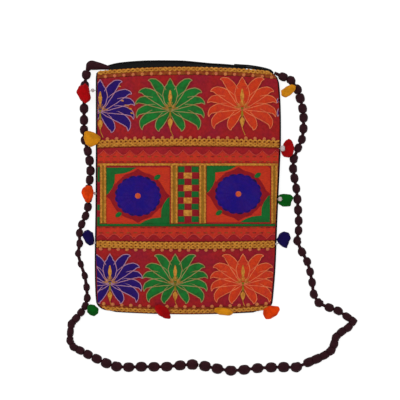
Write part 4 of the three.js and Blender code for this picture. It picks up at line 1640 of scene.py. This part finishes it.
class BAG_OT_strap(bpy.types.Operator):
    """Make the two halves of the beaded cloth strap"""

    bl_idname = "bag.strap"
    bl_label = "Strap"

    def execute(self, context):
        c = colours()
        cloth = cloth_material(
            "Strap Cloth", c.strap, toned(c.strap, 1.5), yarns=1500,
            roughness=0.7, patches=120.0,
        )
        left, right = strap_beads()
        low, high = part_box("front_panel")
        corner = Vector((ground["front"].edge(high.y / MM - 8, -1), high.y / MM - 4.2, 0))
        meeting = neck_between(left[-1], right[0])
        near = (meeting[0] - meeting[2] * HALF_GAP, meeting[1], meeting[2])
        far = (meeting[0] + meeting[2] * HALF_GAP, meeting[1], meeting[2])
        seam_y = corner.y - 1.6
        seam = Vector((ground["front"].edge(seam_y - 3, 1) - 1.0, seam_y, SEAM_HEIGHT))
        into = (seam - right[-1][0]).normalized()
        end_neck = right[-1][0].lerp(seam, 0.55)
        halves = [
            half_strap("strap_left_cloth", left, twisted_end(corner, left[0]), [near], 3),
            half_strap("strap_right_cloth", right, [far], [(end_neck, 1.7, into), (seam, 1.5, into)], 8),
        ]
        for obj, source in zip(halves, ("strap_left", "strap_right")):
            wear(obj, cloth)
            smooth_piece(obj, "strap_cloth", source, degrees=80)
        return {"FINISHED"}


# Buds

# Beads at the buds: their middle, their radius and the bud that they hold
SEED_BEADS = [
    {"bud": "bud_red_left", "x": -95.0, "y": 96.4, "radius": 1.9},
    {"bud": "bud_orange_left", "x": -92.8, "y": -6.4, "radius": 1.6},
    {"bud": "bud_navy_left", "x": -92.9, "y": -55.8, "radius": 1.3},
    {"bud": "bud_navy_right", "x": 88.0, "y": -57.0, "radius": 1.3},
    {"bud": "bud_green_right", "x": 91.7, "y": -12.0, "radius": 2.3},
    {"bud": "bud_red_right", "x": 94.2, "y": 38.4, "radius": 2.9},
]

# The outlines in which the folded felt lies, from the middle of each bud, and that middle
BUD_OUTLINES = {
    "bud_red_left": [(-104, 96), [
        (1.7, 9.4), (5.6, 5.6), (7.6, -5), (6.7, -7.2), (1.7, -11.4), (-3.3, -7.2), (-7.4, 0.6),
        (-6.1, 3.3), (-1.7, 6.1),
    ]],
    "bud_yellow_left": [(-96, 48), [
        (-7.6, 7), (-2.2, 8.1), (3.3, 6.1), (8.9, 1.5), (8.9, -1.7), (5, -5.6), (-1.1, -8.3),
        (-5.6, -5.6), (-7.8, 0.6),
    ]],
    "bud_orange_left": [(-100, -7), [
        (-0.6, 8.6), (3.9, 7.8), (6.3, 2.8), (5.6, -3.3), (1.7, -8.9), (-1.1, -8.9), (-4.4, -3.3),
        (-6.3, 1.7), (-5.6, 5.6),
    ]],
    "bud_navy_left": [(-99.4, -50.6), [
        (-4.2, 7.2), (-0.4, 8.1), (5, 5.4), (5.9, -1.1), (5.6, -7.2), (1.4, -8.1), (-2.8, -5),
        (-5.9, 0.6), (-6.4, 4.4),
    ]],
    "bud_green_left": [(-95, -123), [
        (-2.8, 6.1), (1.7, 5.6), (6.1, 1.7), (5.6, -3.3), (1.7, -5.9), (-2.8, -5), (-5.6, -1.7),
        (-5.2, 3.9),
    ]],
    "bud_red_bottom": [(-24, -124), [
        (-7.8, 6.7), (-3.3, 6.9), (1.1, 4.4), (6.1, -1.1), (7, -6.1), (6.1, -8.1), (0.6, -7.2),
        (-5, -3.9), (-8.2, 0.6), (-9.4, 4.4),
    ]],
    "bud_yellow_bottom": [(38, -124), [
        (-9.4, 3.3), (-2.8, 4.4), (6.1, 2.8), (10.3, -1.7), (7.8, -4.4), (2.8, -4.1), (-5, -3.3),
        (-10, 0.6),
    ]],
    "bud_orange_right": [(83, -125), [
        (-8.3, 2.8), (-0.6, 7.2), (7.2, 6.1), (9.2, 2.8), (6.1, -2.8), (-0.6, -6.7), (-5.6, -6.7),
        (-8.9, -1.7),
    ]],
    "bud_navy_right": [(96, -53), [
        (-7.8, 0.6), (-5, 5.6), (0, 8.9), (5, 7.2), (7, 1.7), (4.4, -3.3), (2.8, -8.9), (-1.7, -7.2),
        (-5.6, -3.3),
    ]],
    "bud_green_right": [(98, -13), [
        (-8.3, 5.6), (-2.8, 5.9), (5, 5.6), (7.8, 2.2), (5.6, -0.6), (4.4, -6.1), (-3.9, -6.7),
        (-7.8, -3.9), (-8.1, 1.7),
    ]],
    "bud_red_right": [(99, 39), [
        (1.7, 9.2), (5, 7.2), (7.2, 0.6), (5.6, -7.2), (1.7, -9.7), (-3.9, -8.9), (-6.7, -3.9),
        (-5.6, -0.6), (-3.9, 4.4), (-1.7, 7.8),
    ]],
    "bud_yellow_right": [(100, 97), [
        (-7.2, 0), (-2.8, 3.9), (3.9, 6.7), (7.8, 5), (7.2, 0.6), (2.8, -4.4), (-2.8, -6.7), (-6.7, -5),
    ]],
}
BUD_SHIFT = 2.5  # the folded felt may lie this far from the middle of its solid
BUD_STRETCH = (0.78, 1.25)
BUD_DIRECTIONS = 36
GATHERS = 6
GATHER_DEPTH = 0.45
LUMP_HEIGHT = 0.5
LUMP_LENGTH = 5.5
THREAD_RADIUS = 0.35


def outline_reach(outline, angle):
    """How far an outline reaches from its middle in one direction."""
    direction = Vector((math.cos(angle), math.sin(angle)))
    best = 0.0
    for start, end in zip(outline, outline[1:] + outline[:1]):
        edge = Vector(end) - Vector(start)
        cross = direction.x * edge.y - direction.y * edge.x
        if abs(cross) > 1e-9:
            along = (start[0] * edge.y - start[1] * edge.x) / cross
            share = (start[0] * direction.y - start[1] * direction.x) / cross
            if along > 0 and 0 <= share <= 1:
                best = max(best, along)
    return best


def fold_to_outline(obj, source):
    """Moves the felt sideways until it lies in the bud's folded outline."""
    lies_at, outline = BUD_OUTLINES[source]
    points = [vertex.co / MM for vertex in obj.data.vertices]
    middle = (Vector(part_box(source)[0]) + Vector(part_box(source)[1])).xy / 2 / MM
    shift = Vector(lies_at) - middle
    if shift.length > BUD_SHIFT:
        shift = shift.normalized() * BUD_SHIFT
    reaches = [1.0] * BUD_DIRECTIONS
    for point in points:
        offset = point.xy - middle
        slot = round(math.atan2(offset.y, offset.x) / (2 * math.pi) * BUD_DIRECTIONS) % BUD_DIRECTIONS
        reaches[slot] = max(reaches[slot], offset.length)
    around = [
        max(reach, (reaches[k - 1] + reaches[(k + 1) % BUD_DIRECTIONS]) / 2)
        for k, reach in enumerate(reaches)
    ]
    stretches = [
        outline_reach(outline, 2 * math.pi * k / BUD_DIRECTIONS) / around[k]
        for k in range(BUD_DIRECTIONS)
    ]
    low, high = BUD_STRETCH
    for vertex, point in zip(obj.data.vertices, points):
        offset = point.xy - middle
        turn = math.atan2(offset.y, offset.x) / (2 * math.pi) * BUD_DIRECTIONS
        first = math.floor(turn)
        share = turn - first
        stretch = (
            stretches[first % BUD_DIRECTIONS] * (1 - share)
            + stretches[(first + 1) % BUD_DIRECTIONS] * share
        )
        moved_to = middle + shift + offset * max(low, min(high, stretch))
        vertex.co.x, vertex.co.y = moved_to.x * MM, moved_to.y * MM


def felt_bud(source):
    """A soft felt bud in the shape of its node, folded and gathered towards its tied end."""
    obj = joined_copy(source, source + "_felt", flatness=60)
    subdivide_smooth(obj, 3)
    fold_to_outline(obj, source)
    points = [vertex.co.copy() for vertex in obj.data.vertices]
    middle = sum(points, Vector()) / len(points)
    far = max(points, key=lambda point: (point - middle).length)
    other = max(points, key=lambda point: (point - far).length)
    tied, free = sorted((far, other), key=lambda point: (point.xy - middle_of_bag()).length)
    axis = (free - tied).normalized()
    length = (free - tied).length
    aside = axis.cross(UP).normalized()
    for vertex, normal in zip(obj.data.vertices, [v.normal.copy() for v in obj.data.vertices]):
        along = (vertex.co - tied).dot(axis) / length
        around = vertex.co - tied - axis * (along * length)
        angle = math.atan2(around.z, around.dot(aside))
        shoulder = max(0.0, 1 - along * 1.6) ** 1.5 * min(1.0, max(0.0, along * 6))
        gathers = GATHER_DEPTH * math.cos(GATHERS * angle + 1.1) * shoulder
        lumps = LUMP_HEIGHT * noise.noise(vertex.co / MM / LUMP_LENGTH)
        vertex.co += normal * (gathers + lumps) * MM
    return obj, middle / MM


def middle_of_bag():
    low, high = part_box("front_panel")
    return ((low + high) / 2).xy


def bead_height(row, bud):
    """A bead lies on the felt under it, or hangs beside the seam."""
    points = [vertex.co / MM for vertex in bud.data.vertices]
    tree = BVHTree.FromPolygons(points, [tuple(face.vertices) for face in bud.data.polygons])
    under = tree.ray_cast(Vector((row["x"], row["y"], 200)), -UP)[0]
    return SEAM_HEIGHT + 1.8 if under is None else under.z + 0.6 * row["radius"]


BEAD_LENGTH = 1.7  # how far a ring is drawn out along its thread to make a bead


def seed_bead(name, centre, radius, axis):
    """A white glass bead with a hole along its thread."""
    bpy.ops.object.select_all(action="DESELECT")
    turn = Vector((0, 0, 1)).rotation_difference(axis).to_euler()
    bpy.ops.mesh.primitive_torus_add(
        location=centre * MM, rotation=turn, major_segments=24, minor_segments=12,
        major_radius=radius * 0.54 * MM, minor_radius=radius * 0.46 * MM,
    )
    obj = bpy.context.active_object
    obj.name = name
    obj.scale.z = BEAD_LENGTH
    bpy.ops.object.transform_apply(location=True, rotation=True, scale=True)
    shade_smooth(obj, 80)
    return obj


class BAG_OT_buds(bpy.types.Operator):
    """Make the felt buds with their white beads and threads"""

    bl_idname = "bag.buds"
    bl_label = "Felt buds"

    def execute(self, context):
        c = colours()
        felts = {
            dye: felt_material(dye.title() + " Felt", getattr(c, "felt_" + dye))
            for dye in ("red", "yellow", "orange", "navy", "green")
        }
        glass = glazed_material("White Glass", c.seed_bead, 0.3, 0.3)
        navy_thread = thread_material("Navy Thread", c.felt_navy, c.violet_edge, share=0.3)
        pale_thread = thread_material("Pale Thread", c.seed_bead, c.salmon, share=0.1)
        middles, felts_by_node = {}, {}
        for source in sorted(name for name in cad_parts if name.startswith("bud_")):
            dye = source.split("_")[1]
            obj, middles[source] = felt_bud(source)
            felts_by_node[source] = obj
            wear(obj, felts[dye])
            smooth_piece(obj, "felt_" + dye, source, degrees=80)
        for row in SEED_BEADS:
            middle = middles[row["bud"]]
            place = Vector((row["x"], row["y"], bead_height(row, felts_by_node[row["bud"]])))
            side = 1 if row["x"] > 0 else -1
            axis = Vector((middle.x - place.x, middle.y - place.y, 0)).normalized()
            bead = seed_bead(row["bud"].replace("bud", "bead"), place, row["radius"], axis)
            wear(bead, glass)
            as_piece(bead, "seed_bead")
            seam = Vector((place.x - side * (row["radius"] + 1.5), place.y, SEAM_HEIGHT + 0.4))
            work = Needlework()
            line = smooth_through([tuple(seam), tuple(place), tuple(middle)], 6)
            work.cord([Vector(point) for point in line], THREAD_RADIUS, 0, sides=6)
            thread = navy_thread if "navy" in row["bud"] else pale_thread
            obj = work.make(row["bud"].replace("bud", "thread"), thread)
            smooth_piece(obj, "embroidery", degrees=80)
        return {"FINISHED"}


# Stage

IMAGE_SIZE = 400  # pixels a side, at one millimetre to a pixel
VIEW_MIDDLE = (12, -13)
CAMERA_HEIGHT = 3000
SENSOR = 36
FLOOR_SIZE = 8  # metres
FLOOR_DROP = 0.2  # millimetres below the bag
FLOOR_GLOW = 0.86  # light of the floor's own, which keeps it white under the bag
FLOOR_GREY = 0.3
SKY_STRENGTH = 0.48
# Each lamp: its name, its place and its size in metres, and its power in watts
LAMPS = [
    ("key_light", (-0.7, 0.5, 1.3), 1.1, 8.5),
    ("fill_light", (0.9, -0.3, 1.2), 1.2, 3.5),
]


class BAG_OT_stage(bpy.types.Operator):
    """Set the pale floor, the soft studio light and the camera straight above"""

    bl_idname = "bag.stage"
    bl_label = "Stage"

    def execute(self, context):
        bpy.ops.object.select_all(action="DESELECT")
        bpy.ops.mesh.primitive_plane_add(size=FLOOR_SIZE, location=(0, 0, -FLOOR_DROP * MM))
        floor = bpy.context.active_object
        floor.name = "floor"
        material, tree, shader, place = begin_material("Pale Floor", 0.9)
        shader.inputs["Specular IOR Level"].default_value = 0.05
        shader.inputs["Emission Color"].default_value = (1, 1, 1, 1)
        shader.inputs["Emission Strength"].default_value = FLOOR_GLOW
        grey, paler = [FLOOR_GREY] * 3, [FLOOR_GREY + 0.02] * 3
        colour = dyed(tree, place.outputs["Object"], grey, paler, 0.7, 0.5)
        tree.links.new(colour, shader.inputs["Base Color"])
        wear(floor, material)

        camera = bpy.data.cameras.new("camera")
        camera.sensor_width = SENSOR
        camera.lens = SENSOR * CAMERA_HEIGHT / IMAGE_SIZE
        camera.clip_end = 100
        view = bpy.data.objects.new("camera", camera)
        context.scene.collection.objects.link(view)
        view.location = (VIEW_MIDDLE[0] * MM, VIEW_MIDDLE[1] * MM, CAMERA_HEIGHT * MM)
        context.scene.camera = view

        for name, place, size, power in LAMPS:
            light = bpy.data.lights.new(name, "AREA")
            light.size = size
            light.energy = power
            lamp = bpy.data.objects.new(name, light)
            context.scene.collection.objects.link(lamp)
            lamp.location = place
            lamp.rotation_mode = "QUATERNION"
            lamp.rotation_quaternion = (-Vector(place)).to_track_quat("-Z", "Y")
        world = context.scene.world or bpy.data.worlds.new("World")
        context.scene.world = world
        world.use_nodes = True
        sky = world.node_tree.nodes["Background"]
        sky.inputs["Color"].default_value = (1, 1, 1, 1)
        sky.inputs["Strength"].default_value = SKY_STRENGTH
        context.scene.view_settings.view_transform = "Standard"
        return {"FINISHED"}


class BAG_PT_panel(bpy.types.Panel):
    """Steps that dress the bag, with its sizes and colours"""

    bl_idname = "BAG_PT_panel"
    bl_label = "Embroidered Crossbody Bag"
    bl_space_type = "VIEW_3D"
    bl_region_type = "UI"
    bl_category = "Bag"

    def draw(self, context):
        for step in STEPS:
            self.layout.operator(step.bl_idname)
        for group in (context.scene.bag_sizes, context.scene.bag_colours):
            box = self.layout.box()
            for key in group.bl_rna.properties.keys()[2:]:
                box.prop(group, key)


STEPS = [
    BAG_OT_stage,
    BAG_OT_panels,
    BAG_OT_ribbons,
    BAG_OT_braids,
    BAG_OT_lotuses,
    BAG_OT_squares,
    BAG_OT_bars,
    BAG_OT_scallops,
    BAG_OT_zip,
    BAG_OT_strap,
    BAG_OT_buds,
]
CLASSES = [BagColours, BagSizes, *STEPS, BAG_PT_panel]


def register():
    for cls in CLASSES:
        bpy.utils.register_class(cls)
    bpy.types.Scene.bag_colours = PointerProperty(type=BagColours)
    bpy.types.Scene.bag_sizes = PointerProperty(type=BagSizes)


def unregister():
    del bpy.types.Scene.bag_sizes
    del bpy.types.Scene.bag_colours
    for cls in reversed(CLASSES):
        bpy.utils.unregister_class(cls)


def main():
    register()
    bpy.ops.bag.stage()
    bpy.ops.bag.panels()
    bpy.ops.bag.ribbons()
    bpy.ops.bag.braids()
    bpy.ops.bag.lotuses()
    bpy.ops.bag.squares()
    bpy.ops.bag.bars()
    bpy.ops.bag.scallops()
    bpy.ops.bag.zip()
    bpy.ops.bag.strap()
    bpy.ops.bag.buds()


if __name__ == "__main__":
    main()
